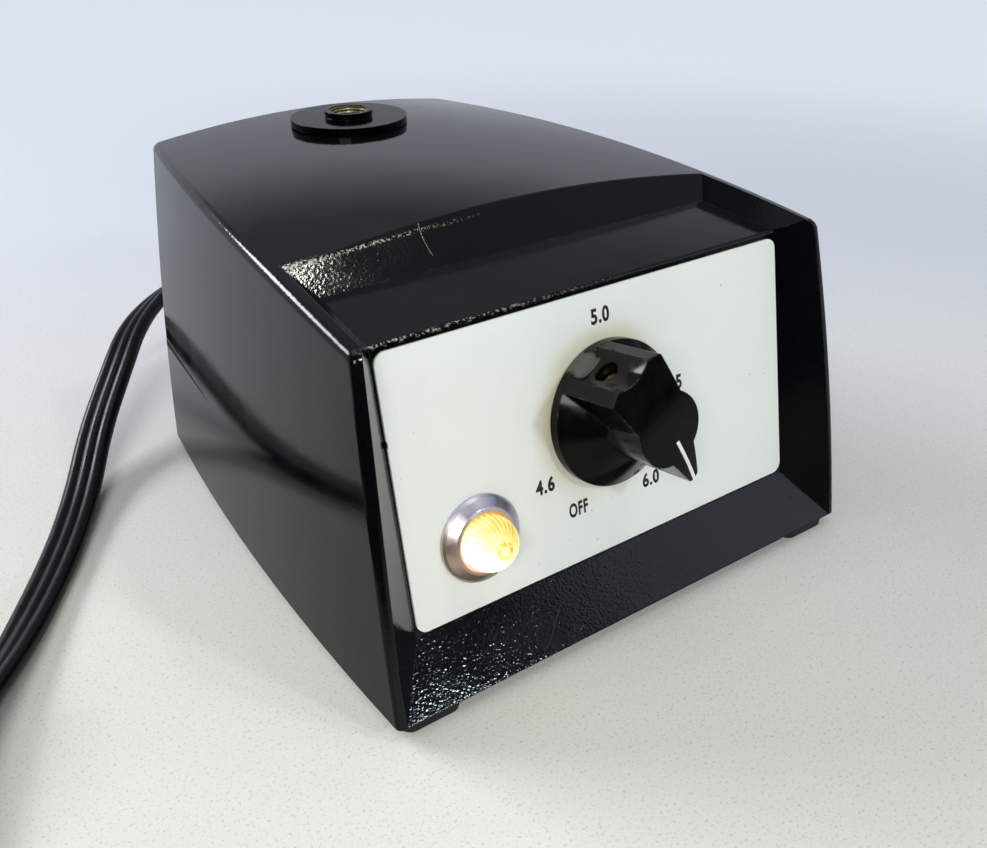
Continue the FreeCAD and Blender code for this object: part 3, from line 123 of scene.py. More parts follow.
class Nodes:
    """Short names for building one material's nodes."""

    def __init__(self, name):
        self.material = bpy.data.materials.new(name)
        self.material.use_nodes = True
        self.tree = self.material.node_tree
        self.shader = self.tree.nodes["Principled BSDF"]
        self.output = self.tree.nodes["Material Output"]
        self.coords = self.tree.nodes.new("ShaderNodeTexCoord").outputs["Object"]

    def set(self, **values):
        for key, value in values.items():
            self.shader.inputs[key.replace("_", " ")].default_value = value

    def new(self, kind, **settings):
        made = self.tree.nodes.new("ShaderNode" + kind)
        for key, value in settings.items():
            setattr(made, key, value)
        return made

    def link(self, source, target):
        self.tree.links.new(source, target)

    def put(self, socket, value):
        if isinstance(value, (int, float, tuple, list)):
            socket.default_value = value
        else:
            self.link(value, socket)

    def feed(self, name, value):
        """Puts a number, a colour or another node's output on an input of the shader."""
        self.put(self.shader.inputs[name], value)

    def color(self, value):
        self.feed("Base Color", value)

    def rough(self, value):
        self.feed("Roughness", value)

    def normal(self, value):
        self.feed("Normal", value)

    def math(self, operation, a, b=0.0, clamp=False):
        made = self.new("Math", operation=operation, use_clamp=clamp)
        self.put(made.inputs[0], a)
        self.put(made.inputs[1], b)
        return made.outputs[0]

    def add(self, a, b, clamp=False):
        return self.math("ADD", a, b, clamp)

    def sub(self, a, b):
        return self.math("SUBTRACT", a, b)

    def mul(self, a, b, clamp=False):
        return self.math("MULTIPLY", a, b, clamp)

    def div(self, a, b):
        return self.math("DIVIDE", a, b)

    def below(self, a, b):
        return self.math("LESS_THAN", a, b)

    def above(self, a, b):
        return self.math("GREATER_THAN", a, b)

    def size(self, a):
        return self.math("ABSOLUTE", a)

    def gap(self, value, target):
        """How far a value is from a target."""
        return self.size(self.sub(value, target))

    def square(self, a):
        return self.mul(a, a)

    def reach(self, x, y):
        """The distance of (x, y) from (0, 0)."""
        return self.math("SQRT", self.add(self.square(x), self.square(y)))

    def noise(self, scale, detail=2.0, rough=0.5, stretch=None):
        made = self.new("TexNoise")
        for key, number in (("Scale", scale), ("Detail", detail), ("Roughness", rough)):
            made.inputs[key].default_value = number
        source = self.coords
        if stretch:
            mapping = self.new("Mapping")
            mapping.inputs["Scale"].default_value = stretch
            self.link(source, mapping.inputs["Vector"])
            source = mapping.outputs[0]
        self.link(source, made.inputs["Vector"])
        return made.outputs["Fac"]

    def jitter(self, spread, scale, detail, rough):
        """Noise about zero, used to make a boundary ragged."""
        return self.mul(self.sub(self.noise(scale, detail, rough), 0.5), spread)

    def ramp(self, value, low, high, to_low=0.0, to_high=1.0, smooth=True):
        made = self.new("MapRange", interpolation_type="SMOOTHSTEP" if smooth else "LINEAR")
        self.put(made.inputs["Value"], value)
        for key, number in (("From Min", low), ("From Max", high), ("To Min", to_low), ("To Max", to_high)):
            made.inputs[key].default_value = number
        return made.outputs[0]

    def mix(self, factor, a, b):
        made = self.new("Mix", data_type="RGBA")
        self.put(made.inputs[0], factor)
        for socket, value in ((made.inputs[6], a), (made.inputs[7], b)):
            self.put(socket, (*value, 1.0) if isinstance(value, tuple) else value)
        return made.outputs[2]

    def bump(self, height, distance, strength=1.0, normal=None):
        made = self.new("Bump")
        made.inputs["Strength"].default_value = strength
        made.inputs["Distance"].default_value = distance
        self.link(height, made.inputs["Height"])
        if normal:
            self.link(normal, made.inputs["Normal"])
        return made.outputs[0]

    def split(self, vector=None):
        made = self.new("SeparateXYZ")
        self.link(vector or self.coords, made.inputs[0])
        return made.outputs

    def facing(self):
        return self.new("NewGeometry").outputs["Normal"]


def in_frame(n, frame_matrix):
    """The object point seen from a frame laid on the dial, as its x, y and z."""
    mapping = n.new("Mapping", vector_type="TEXTURE")
    mapping.inputs["Location"].default_value = frame_matrix.to_translation()
    mapping.inputs["Rotation"].default_value = frame_matrix.to_euler()
    n.link(n.coords, mapping.inputs["Vector"])
    return n.split(mapping.outputs[0])


def edge_wear(n, radius, spread):
    """The normal rounded over the edges, and a mask that is 1 on an edge, broken up by noise."""
    bevel = n.new("Bevel", samples=4)
    bevel.inputs["Radius"].default_value = radius
    rounded = bevel.outputs[0]
    lean = n.new("VectorMath", operation="DOT_PRODUCT")
    n.link(rounded, lean.inputs[0])
    n.link(n.facing(), lean.inputs[1])
    edge = n.ramp(lean.outputs["Value"], 0.995, 0.93)
    return rounded, n.mul(edge, n.ramp(n.noise(spread, 4.0, 0.65), 0.54, 0.66))


# the shell's marks, in metres
CRACK_PEAK_Y, CRACK_PEAK_Z, CRACK_BEND = 0.025, 0.03235, 1.28
CRACK_NARROW_Y, CRACK_WIDE_Y = 0.022, 0.066
CRACK_NARROW, CRACK_WIDE = 0.00020, 0.00085
LEFT_SIDE_X = -0.045
SCRATCH_SHARP, SCRATCH_SOFT = 0.00005, 0.00016
STEP_SCRATCH_X, STEP_SCRATCH_Y, STEP_SCRATCH_Z = -0.0246, -0.0258, 0.0794
CHIN_SCRATCH_X, CHIN_SCRATCH_Y, CHIN_SCRATCH_Z = -0.0191, -0.0671, 0.0068
STEP_EDGE_Y, STEP_EDGE_Z, STEP_EDGE_BEND = -0.0248, 0.0814, 0.55
LEDGE_EDGE_Y, LEDGE_EDGE_Z = -0.0518, 0.0727
BETWEEN_CHEEKS = 0.0556


def side_crack(n, x, y, z):
    """The crack that runs forward from the back edge of the left side and narrows, and the lip under it."""
    level = n.sub(CRACK_PEAK_Z, n.mul(n.square(n.sub(y, CRACK_PEAK_Y)), CRACK_BEND))
    middle = n.add(level, n.jitter(0.0006, 160, 3.0, 0.6))
    width = n.ramp(y, CRACK_NARROW_Y, CRACK_WIDE_Y, CRACK_NARROW, CRACK_WIDE, smooth=False)
    on_side = n.mul(n.below(x, LEFT_SIDE_X), n.ramp(y, 0.020, 0.030))
    crack = n.mul(n.sub(1.0, n.ramp(n.div(n.gap(z, middle), width), 0.5, 1.4)), on_side)
    widths_below = n.div(n.sub(middle, z), width)
    lip = n.mul(n.ramp(n.gap(widths_below, 1.9), 0.9, 0.2), on_side)
    return crack, lip


def fine_scratches(n, x, y, z):
    """One scratch down the step and a faint one on the chin."""
    rise = n.sub(z, STEP_SCRATCH_Z)
    off_step = n.gap(n.sub(x, n.mul(rise, n.mul(rise, 60.0))), STEP_SCRATCH_X)
    step = n.sub(1.0, n.ramp(off_step, SCRATCH_SHARP, SCRATCH_SOFT))
    step = n.mul(step, n.mul(n.below(n.gap(y, STEP_SCRATCH_Y), 0.0028), n.above(z, 0.075)))
    slant = n.sub(x, n.mul(n.sub(y, CHIN_SCRATCH_Y), 1.5))
    chin = n.sub(1.0, n.ramp(n.gap(slant, CHIN_SCRATCH_X), SCRATCH_SHARP, SCRATCH_SOFT))
    chin = n.mul(chin, n.below(n.gap(z, CHIN_SCRATCH_Z), 0.0024))
    chin = n.mul(chin, n.below(y, -0.060))
    return n.mul(n.add(step, n.mul(chin, 0.15)), n.noise(900, 2.0, 0.6), clamp=True)


def painted_edge_glints(n, x, y, z):
    """Painted highlights: bright dots along the step's top edge and the ledge's front edge, most on the left,
    where their rounded edges catch the light.
    """
    crown = n.sub(STEP_EDGE_Z, n.mul(n.square(x), STEP_EDGE_BEND))
    at_step = n.mul(n.ramp(n.gap(z, crown), 0.00045, 0.00012), n.ramp(n.gap(y, STEP_EDGE_Y), 0.0020, 0.0012))
    at_step = n.mul(at_step, n.ramp(x, -0.055, -0.008, 0.95, 0.0, smooth=False))
    at_ledge = n.mul(n.ramp(n.gap(y, LEDGE_EDGE_Y), 0.00035, 0.0001),
                     n.ramp(n.gap(z, LEDGE_EDGE_Z), 0.003, 0.002))
    at_ledge = n.mul(at_ledge, n.ramp(x, -0.050, 0.010, 0.55, 0.0, smooth=False))
    dots = n.sub(n.add(at_step, at_ledge, clamp=True), n.ramp(n.noise(1700, 2.0, 0.6), 0.40, 0.60))
    return n.mul(n.math("MAXIMUM", dots, 0.0), n.below(n.size(x), BETWEEN_CHEEKS))


def shell_material():
    """Near-black moulding with a fine grain, a crack along one side, a few scratches, worn edges, and painted
    highlights dotted along the step's and the ledge's edges.
    """
    n = Nodes("shell_black_gloss")
    n.set(IOR=1.37)
    x, y, z = n.split()
    rounded, wear = edge_wear(n, 0.0004, 260)
    crack, lip = side_crack(n, x, y, z)
    scratches = fine_scratches(n, x, y, z)
    dust = n.ramp(n.noise(2400, 2.0, 0.7), 0.70, 0.78)
    tone = n.mix(n.ramp(n.noise(40, 4.0, 0.6), 0.35, 0.7), (0.0016, 0.0017, 0.0024), (0.0028, 0.0029, 0.0038))
    tone = n.mix(n.mul(dust, 0.10), tone, (0.22, 0.22, 0.21))
    tone = n.mix(n.mul(wear, 0.22), tone, (0.10, 0.10, 0.10))
    tone = n.mix(scratches, tone, (0.34, 0.30, 0.22))
    # painted highlight: bright dots where the step's and the ledge's rounded edges catch the light
    tone = n.mix(n.mul(painted_edge_glints(n, x, y, z), 0.9), tone, (0.80, 0.77, 0.64))
    tone = n.mix(n.mul(lip, 0.5), tone, (0.09, 0.09, 0.095))
    n.color(n.mix(crack, tone, (0.0006, 0.0006, 0.0006)))
    gloss = n.ramp(n.noise(90, 3.0, 0.55), 0.3, 0.7, 0.07, 0.12)
    gloss = n.add(gloss, n.mul(wear, 0.2))
    n.rough(n.add(gloss, n.mul(crack, 0.6), clamp=True))

    # the grain is deepest on the chin and the step, and fades on the sides and the top
    lean = n.split(n.facing())
    front = n.ramp(n.mul(lean[1], -1.0), 0.15, 0.6, 0.35, 1.0)
    front = n.mul(front, n.ramp(z, 0.014, 0.022, 1.0, 0.45))
    grain = n.mul(n.noise(1550, 1.5, 0.5), front)
    cuts = n.add(n.mul(crack, 4.0), n.mul(scratches, 0.8))
    n.normal(n.bump(n.sub(grain, cuts), 0.00006, 1.0, normal=rounded))

    # painted shade: the sides reflect less, most of all towards the foot, standing in for the shaded table
    # beside the shell that they mirror; the right cheek reflects less too
    side = n.ramp(n.size(lean[0]), 0.5, 0.9)
    worn = n.ramp(z, 0.0, 0.080, 0.22, 0.36, smooth=False)
    shine = n.add(n.mul(side, n.sub(worn, 0.5)), 0.5)
    cheek = n.mul(n.below(lean[0], -0.5), n.above(x, 0.045))
    n.feed("Specular IOR Level", n.mul(shine, n.ramp(cheek, 0.0, 1.0, 1.0, 0.3)))
    return n.material


def plain(name, color, rough, metallic=0.0, grain=600.0, depth=0.00004, spread=0.12, ior=1.5, strength=0.3,
          stretch=None, round_edges=0.0):
    """A moulded, plated or turned surface: small colour and gloss changes, a fine grain and rubbed edges."""
    n = Nodes(name)
    n.set(Metallic=metallic, IOR=ior)
    shade = n.ramp(n.noise(90, 4.0, 0.6), 0.3, 0.7)
    dark = tuple(c * (1 - spread) for c in color)
    light = tuple(min(1.0, c * (1 + spread)) for c in color)
    tone = n.mix(shade, dark, light)
    normal = None
    if round_edges:
        normal, wear = edge_wear(n, round_edges, 420)
        tone = n.mix(n.mul(wear, 0.25), tone, tuple(min(1.0, c * 1.6 + 0.05) for c in color))
    n.color(tone)
    n.rough(n.ramp(n.noise(140, 3.0, 0.6), 0.3, 0.7, rough * 0.85, min(1.0, rough * 1.15)))
    n.normal(n.bump(n.noise(grain, 3.0, 0.6, stretch=stretch), depth, strength, normal=normal))
    return n.material


def knob_material():
    """Polished dark moulding with hairline marks, a little dust and finger grease."""
    n = Nodes("knob_phenolic")
    n.set(IOR=1.24)
    rounded, wear = edge_wear(n, 0.0005, 500)
    dust = n.ramp(n.noise(1500, 2.0, 0.7), 0.69, 0.78)
    patch = n.ramp(n.noise(150, 4.0, 0.6), 0.35, 0.7)
    tone = n.mix(patch, (0.0022, 0.0020, 0.0022), (0.0042, 0.0038, 0.0038))
    tone = n.mix(n.mul(dust, 0.06), tone, (0.20, 0.20, 0.19))
    tone = n.mix(n.mul(wear, 0.5), tone, (0.16, 0.15, 0.14))

    # the flank beside the tail is scuffed grey, and it turns with the knob
    u, v, w = in_frame(n, KNOB)
    ragged = n.add(n.reach(n.mul(n.add(u, 0.0150), 1.9), n.add(v, 0.0004)), n.jitter(0.002, 600, 3.0, 0.65))
    scuff = n.mul(n.ramp(ragged, 0.0036, 0.0026), n.below(w, 0.0050))
    n.color(n.mix(n.mul(scuff, 0.5), tone, (0.19, 0.19, 0.17)))
    grease = n.ramp(n.noise(230, 3.0, 0.6), 0.35, 0.65, 0.09, 0.20)
    n.rough(n.add(grease, n.mul(scuff, 0.4)))
    lines = n.noise(520, 2.0, 0.6, stretch=(1.0, 1.0, 9.0))
    n.normal(n.bump(n.add(lines, n.mul(n.noise(1800, 2.0, 0.5), 0.5)), 0.00002, 0.25, normal=rounded))
    return n.material


def dial_material():
    """White enamel with a yellow stain round the knob, faint grime, specks and a chip on its left edge."""
    n = Nodes("dial_enamel")
    n.set(IOR=1.48)
    x, _, z = n.split()
    up = n.div(n.sub(z, DIAL_MIDDLE_Z), DIAL_UPRIGHT)
    reach = n.reach(x, up)
    upper_left = n.div(n.add(n.mul(x, -0.75), n.mul(up, 0.66)), reach)
    ragged = n.add(reach, n.jitter(0.004, 130, 3.0, 0.6))
    halo = n.mul(n.ramp(ragged, 0.0212, 0.0158), n.ramp(upper_left, -0.9, 0.7, 0.12, 1.0))
    grime = n.ramp(n.noise(55, 4.0, 0.6), 0.40, 0.78)
    spots = n.ramp(n.noise(900, 1.0, 0.4), 0.80, 0.83)
    tone = n.mix(n.mul(grime, 0.5), (0.800, 0.822, 0.775), (0.755, 0.775, 0.720))
    tone = n.mix(n.mul(halo, 0.75), tone, (0.62, 0.60, 0.40))
    tone = n.mix(n.mul(spots, 0.55), tone, (0.20, 0.15, 0.08))
    chip = n.reach(n.mul(n.add(x, DIAL_EDGE_X), 1.6), n.mul(n.sub(up, 0.0090), 0.7))
    chip = n.add(chip, n.jitter(0.0006, 1100, 2.0, 0.6))
    n.color(n.mix(n.ramp(chip, 0.00070, 0.00040), tone, (0.012, 0.011, 0.009)))
    n.rough(n.ramp(n.noise(75, 3.0, 0.6), 0.3, 0.7, 0.28, 0.38))
    n.normal(n.bump(n.noise(420, 2.0, 0.5), 0.00004, 0.10))
    return n.material


def lens_material():
    """Lit amber moulding: white where the lamp shows through, yellow then orange away from it."""
    n = Nodes("amber_lens_lit")
    n.set(IOR=1.5, Roughness=0.14)
    x, y, z = n.split()

    def lean(degrees, value):
        """A value times how far the point lies towards an angle, as a share of the lens's radius."""
        turn = math.radians(degrees)
        side = n.add(n.mul(x, math.cos(turn) / LENS_RADIUS), n.mul(y, math.sin(turn) / LENS_RADIUS))
        return n.mul(side, value)

    # the lamp stands low and to the left behind the moulding
    rise = n.math("MAXIMUM", n.sub(n.mul(z, 1000.0), 4.0), 0.0)
    heat = n.add(0.70, lean(222, 0.40))
    heat = n.sub(heat, n.mul(rise, n.mul(n.add(1.0, lean(42, 1.0)), 0.022)))
    crest = n.size(n.math("COSINE", n.mul(n.math("ARCTAN2", y, x), LENS_FLUTES / 2)))
    groove = n.mul(n.sub(1.0, crest), n.add(0.50, lean(70, 0.40)))
    heat = n.sub(heat, n.mul(groove, 0.27))
    # a raised ring marks the tip, and the foot is in the bezel's shade
    tip = n.mul(n.ramp(n.gap(n.reach(x, y), 0.0015), 0.0006, 0.0002), n.ramp(z, 0.0080, 0.0084))
    tip = n.mul(tip, n.ramp(n.noise(700, 2.0, 0.6), 0.35, 0.55, 0.3, 1.0))
    heat = n.sub(heat, n.mul(tip, 0.34))
    foot = n.ramp(z, 0.0042, 0.0016)
    heat = n.sub(heat, n.mul(foot, n.add(0.20, lean(60, 0.16))))
    heat = n.add(heat, n.jitter(0.34, 520, 3.0, 0.6), clamp=True)
    warm = n.mix(n.ramp(heat, 0.05, 0.34), (0.70, 0.45, 0.09), (0.99, 0.86, 0.24))
    warm = n.mix(n.ramp(heat, 0.30, 0.58), warm, (1.0, 0.95, 0.46))
    n.feed("Emission Color", n.mix(n.ramp(heat, 0.52, 0.85), warm, (1.0, 0.99, 0.90)))
    n.feed("Emission Strength", n.ramp(heat, 0.3, 1.0, 1.0, 1.25, smooth=False))
    n.color(n.mix(heat, (0.08, 0.045, 0.006), (0.06, 0.05, 0.02)))
    n.normal(n.bump(n.noise(1500, 2.0, 0.5), 0.00003, 0.3))
    return n.material


def thread_material():
    """Dull brass bush with a worn screw thread cut inside it."""
    n = Nodes("threaded_brass")
    n.set(Metallic=1.0, IOR=1.5)
    x, y, z = n.split()
    turn = n.div(n.math("ARCTAN2", n.sub(y, PORT_Y), x), 2 * math.pi)
    wave = n.math("PINGPONG", n.add(n.div(z, PORT_THREAD_PITCH), turn), 0.5)
    dirt = n.ramp(n.noise(480, 4.0, 0.65), 0.40, 0.62)
    tone = n.mix(n.mul(wave, 2.0), (0.22, 0.19, 0.09), (0.46, 0.42, 0.24))
    n.color(n.mix(n.mul(dirt, 0.5), tone, (0.06, 0.05, 0.022)))
    n.rough(n.ramp(dirt, 0.0, 1.0, 0.34, 0.62))
    n.normal(n.bump(n.add(wave, n.mul(n.noise(1400, 2.0, 0.6), 0.2)), 0.0004, 0.7))
    return n.material


def bezel_material():
    """Worn plating with painted reflections: browner low on the left and lavender high on the right, and the
    lit lens's orange light painted round its mouth as emission.
    """
    n = Nodes("bezel_chrome")
    n.set(Metallic=1.0, IOR=1.5)
    x, y, _ = in_frame(n, PILOT)
    rounded, wear = edge_wear(n, 0.0002, 420)
    # painted reflection of the room: browner low on the left, lavender high on the right
    painted_reflection_side = n.div(n.add(n.mul(x, 0.5), n.mul(y, 0.86)), BEZEL_RADIUS)
    ragged = n.add(painted_reflection_side, n.jitter(0.7, 380, 4.0, 0.65))
    tone = n.mix(n.ramp(ragged, -0.6, 0.5), (0.66, 0.52, 0.43), (0.62, 0.59, 0.68))
    n.color(n.mix(n.mul(wear, 0.3), tone, (0.85, 0.83, 0.80)))
    n.rough(n.ramp(n.noise(260, 4.0, 0.65), 0.3, 0.7, 0.30, 0.48))
    # painted reflection: the lit lens's orange light, shown as emission round the bezel's mouth
    painted_lens_reflection = n.mul(n.ramp(n.reach(x, y), 0.0076, 0.0059), n.ramp(painted_reflection_side, -0.9, 0.9, 0.30, 0.16))
    n.feed("Emission Color", (0.95, 0.34, 0.12, 1.0))
    n.feed("Emission Strength", painted_lens_reflection)
    n.normal(n.bump(n.noise(1300, 3.0, 0.6), 0.00004, 0.4, normal=rounded))
    return n.material


def glass_material(name, color):
    """Clear glass with a faint haze."""
    n = Nodes(name)
    n.set(IOR=1.5, Transmission_Weight=1.0)
    haze = n.ramp(n.noise(160, 3.0, 0.6), 0.35, 0.75)
    n.color(n.mix(haze, color, tuple(c * 0.94 for c in color)))
    n.rough(n.ramp(haze, 0.0, 1.0, 0.02, 0.07))
    n.normal(n.bump(n.noise(240, 2.0, 0.5), 0.00002, 0.15))
    return n.material


def cord_material():
    """Black flexible vinyl, satin, with a little dust."""
    n = Nodes("cord_vinyl")
    n.set(IOR=1.27)
    dust = n.ramp(n.noise(1300, 3.0, 0.7), 0.66, 0.80)
    tone = n.mix(n.ramp(n.noise(60, 3.0, 0.6), 0.3, 0.7), (0.0012, 0.0012, 0.0017), (0.0030, 0.0030, 0.0038))
    n.color(n.mix(n.mul(dust, 0.15), tone, (0.16, 0.16, 0.15)))
    n.rough(n.ramp(n.noise(200, 3.0, 0.6), 0.3, 0.7, 0.26, 0.38))
    n.normal(n.bump(n.noise(1200, 2.0, 0.5), 0.00005, 0.25))
    return n.material


SHELL = shell_material()
DIAL_PAINT = dial_material()
BAKELITE = knob_material()
INK = plain("dial_ink", (0.005, 0.005, 0.006), 0.5, grain=1400, spread=0.3)
WHITE_FILL = plain("pointer_fill", (0.80, 0.79, 0.75), 0.55, grain=1500, spread=0.08)
BRASS = plain("brass", (0.62, 0.45, 0.20), 0.42, metallic=1.0, spread=0.2, round_edges=0.0002)
OLD_BRASS = thread_material()
NICKEL = plain("nickel", (0.62, 0.60, 0.56), 0.25, metallic=1.0)
CHROME = bezel_material()
ZINC = plain("zinc", (0.55, 0.55, 0.53), 0.38, metallic=1.0, spread=0.18, stretch=(0.2, 1.0, 1.0))
STEEL = plain("core_steel", (0.20, 0.20, 0.21), 0.45, metallic=0.9, stretch=(1.0, 6.0, 1.0))
ALUMINIUM = plain("aluminium", (0.70, 0.71, 0.72), 0.35, metallic=1.0, stretch=(0.3, 0.3, 3.0))
TUNGSTEN = plain("tungsten", (0.35, 0.34, 0.33), 0.4, metallic=1.0, grain=2500)
RUBBER = plain("rubber", (0.006, 0.006, 0.0065), 0.5, grain=1300, depth=0.00008, strength=0.5,
               round_edges=0.0003)
PORT_GLOSS = plain("port_gloss", (0.0008, 0.0008, 0.0011), 0.10, ior=1.16, grain=1100, round_edges=0.00035)
FIBRE = plain("fibre_board", (0.16, 0.085, 0.045), 0.7, grain=900, depth=0.0001)
CERAMIC = plain("ceramic", (0.72, 0.70, 0.64), 0.3)
NYLON = plain("nylon", (0.68, 0.66, 0.58), 0.5)
TAPE = plain("winding_tape", (0.45, 0.32, 0.08), 0.35, grain=500, depth=0.0001, stretch=(1.0, 1.0, 5.0))
YELLOW_LEAD = plain("lamp_lead", (0.55, 0.40, 0.05), 0.45)
BLACK_LEAD = plain("mains_lead", (0.02, 0.02, 0.02), 0.45)
TINNED = plain("tinned", (0.58, 0.58, 0.55), 0.35, metallic=1.0)
CLEAR = glass_material("clear_glass", (0.96, 0.98, 0.98))
CORD = cord_material()
WEBBING = plain("tie_webbing", (0.010, 0.010, 0.011), 0.8, grain=2200, depth=0.00012, strength=0.8)
AMBER = lens_material()

FINISHES = {
    "housing": SHELL, "base_plate": ZINC, "feet": RUBBER, "base_screws": ZINC, "dial_plate": DIAL_PAINT,
    "selector_knob": BAKELITE, "pointer_line": WHITE_FILL, "set_screw": BRASS, "selector_shaft": BRASS,
    "rheostat_bushing": NICKEL, "lock_washer": ZINC, "panel_nut": NICKEL, "rheostat_cup": CERAMIC,
    "resistance_element": TUNGSTEN, "wiper_hub": CERAMIC, "wiper_arm": BRASS, "rheostat_lugs": TINNED,
    "pilot_bezel": CHROME, "pilot_lens": AMBER, "pilot_nut": NICKEL, "pilot_socket": FIBRE,
    "pilot_bulb": CLEAR, "port_flange": PORT_GLOSS, "port_bush": OLD_BRASS, "port_nut": BRASS,
    "lens_tube": ALUMINIUM, "condenser_lens": CLEAR, "lens_ring": ALUMINIUM, "lens_spacer": ALUMINIUM,
    "lamp_bulb": CLEAR, "lamp_filament": TUNGSTEN, "lamp_base": BRASS, "lamp_socket": CERAMIC,
    "lamp_bracket": ZINC, "bracket_screws": ZINC, "transformer_core": STEEL, "transformer_bobbin": NYLON,
    "transformer_windings": TAPE, "transformer_frame": STEEL, "frame_screws": ZINC, "core_pad": FIBRE,
    "terminal_strip": FIBRE, "terminal_lugs": TINNED, "mains_leads": BLACK_LEAD,
    "lamp_leads": YELLOW_LEAD, "strain_relief": RUBBER, "cord_inner_end": CORD, "power_cord": CORD,
    "cord_tail": CORD, "cord_coil": CORD, "coil_tie": RUBBER, "plug_body": RUBBER, "plug_blades": BRASS,
    "plug_earth_pin": BRASS,
}


def dress_nodes():
    for name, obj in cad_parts.items():
        obj.data.materials.clear()
        obj.data.materials.append(FINISHES[name])


dress_nodes()

# ------------------------------------------------------------------ dial numbers

# each word's centre on the dial, and its width and height, in millimetres
WORDS = {
    "mark_5_0": ("5.0", -0.2, 21.0, 4.9, 3.4), "mark_5_5": ("5.5", 18.9, 0.7, 4.9, 3.4),
    "mark_6_0": ("6.0", 10.4, -19.2, 4.9, 3.4), "mark_4_6": ("4.6", -18.45, -11.1, 4.9, 3.4),
    "mark_off": ("OFF", -10.4, -19.1, 5.1, 3.3),
}
LETTER_WEIGHT = 0.036
LETTER_SPACING = 1.12
INK_HEIGHT = 0.03


def letter_mesh(name, words):
    """Flat letters at the font's own size."""
    curve = bpy.data.curves.new(name, "FONT")
    curve.body = words
    curve.size = 1.0
    curve.offset = LETTER_WEIGHT
    curve.space_character = LETTER_SPACING
    carrier = link(bpy.data.objects.new(name + "_line", curve))
    bpy.context.view_layer.update()
    mesh = bpy.data.meshes.new_from_object(carrier)
    bpy.data.objects.remove(carrier)
    return mesh


def raise_letters(mesh):
    """Gives flat letters the thickness of the ink."""
    printed = bmesh.new()
    printed.from_mesh(mesh)
    raised = bmesh.ops.extrude_face_region(printed, geom=printed.faces[:])["geom"]
    for v in (g for g in raised if isinstance(g, bmesh.types.BMVert)):
        v.co.z = INK_HEIGHT * MM
    bmesh.ops.recalc_face_normals(printed, faces=printed.faces[:])
    printed.to_mesh(mesh)
    printed.free()


def make_words():
    for name, (words, x, y, width, height) in WORDS.items():
        mesh = letter_mesh(name, words)
        xs, ys = [v.co.x for v in mesh.vertices], [v.co.y for v in mesh.vertices]
        wide, tall = max(xs) - min(xs), max(ys) - min(ys)
        left, foot = min(xs), min(ys)
        for v in mesh.vertices:
            v.co = ((v.co.x - left - wide / 2) / wide * width * MM + x * MM,
                    (v.co.y - foot - tall / 2) / tall * height * MM + y * MM, 0.0)
        raise_letters(mesh)
        mesh.transform(DIAL)
        mesh.materials.clear()
        mesh.materials.append(INK)
        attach(link(bpy.data.objects.new(name, mesh)), "base")


make_words()

# ------------------------------------------------------------------ pilot lamp lens

# radius and height of the dome, from its foot to its tip, in millimetres
LENS_PROFILE = (
    (5.2, -6.0), (5.75, 0.0), (5.8, 2.2), (5.8, 3.3), (5.76, 4.3), (5.6, 5.2), (5.3, 6.1), (4.82, 6.9),
    (4.15, 7.65), (3.4, 8.2), (2.55, 8.6), (1.95, 8.78), (1.75, 8.82), (1.6, 9.0), (1.35, 9.12), (1.1, 9.0),
    (0.95, 8.65), (0.5, 8.5),
)
FLUTE_STEPS = 8
FLUTE_DEPTH = 0.28
FLUTE_END_RADIUS, FLUTE_END_FADE = 1.9, 2.2
FLUTE_FOOT_LEVEL, FLUTE_FOOT_FADE = -0.5, 1.5


def share(value):
    """A value kept between 0 and 1."""
    return min(1.0, max(0.0, value))


def make_lens():
    verts = []
    steps = LENS_FLUTES * FLUTE_STEPS
    for radius, height in LENS_PROFILE:
        fade = share((radius - FLUTE_END_RADIUS) / FLUTE_END_FADE)
        fade *= share((height - FLUTE_FOOT_LEVEL) / FLUTE_FOOT_FADE)
        for i in range(steps):
            angle = 2 * math.pi * i / steps
            crest = abs(math.cos(LENS_FLUTES * angle / 2))
            r = (radius - FLUTE_DEPTH * fade * (1 - crest ** 0.7)) * MM
            verts.append((r * math.cos(angle), r * math.sin(angle), height * MM))
    faces = loft_faces(len(LENS_PROFILE), steps)
    lens = mesh_piece("pilot_dome", verts, faces, AMBER, "base", place=PILOT)
    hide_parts("pilot_lens")


make_lens()

# ------------------------------------------------------------------ mains cord

CORD_WIDTH = 9.2
CORD_THICK = 3.9
COIL_CENTRE = (-196.0, -48.0)
COIL_LEVEL = 5.3
COIL_RADIUS = 57.0
COIL_PITCH = 4.05
COIL_TURNS = 5.5
# the route to the coil, each point with the roll of the cord's wide face: 0 lies flat, 90 stands on edge
ROUTE = (
    (-6.0, 89.9, 34.1, 0), (-6.0, 106.6, 31.6, 5), (-13.6, 117.0, 29.6, 25), (-25.4, 120.2, 27.2, 40),
    (-37.6, 115.6, 25.0, 32), (-53.2, 99.2, 23.4, 8), (-64.6, 82.2, 18.4, 2), (-77.1, 67.1, 9.2, 0),
    (-88.0, 45.9, 3.5, 0), (-99.8, 23.3, 2.15, 0), (-115.5, -2.4, 2.3, 4), (-130.2, -25.2, 4.9, 50),
)
# from the inner turn up onto the coil, where the plug lies
TAIL = (
    (-226.0, -30.7, 7.6, 88), (-215.1, -17.5, 12.0, 60), (-202.5, -8.0, 16.5, 20), (-189.0, -6.5, 18.9, 0),
)
POINTS_PER_TURN = 16
LINE_STEPS = 6  # points of the smooth line for each point of the route
ROLL_SEARCH = 60  # how many points ahead the next point of the route is looked for
ROLL_WINDOW = 5
RIB_STEPS = 9

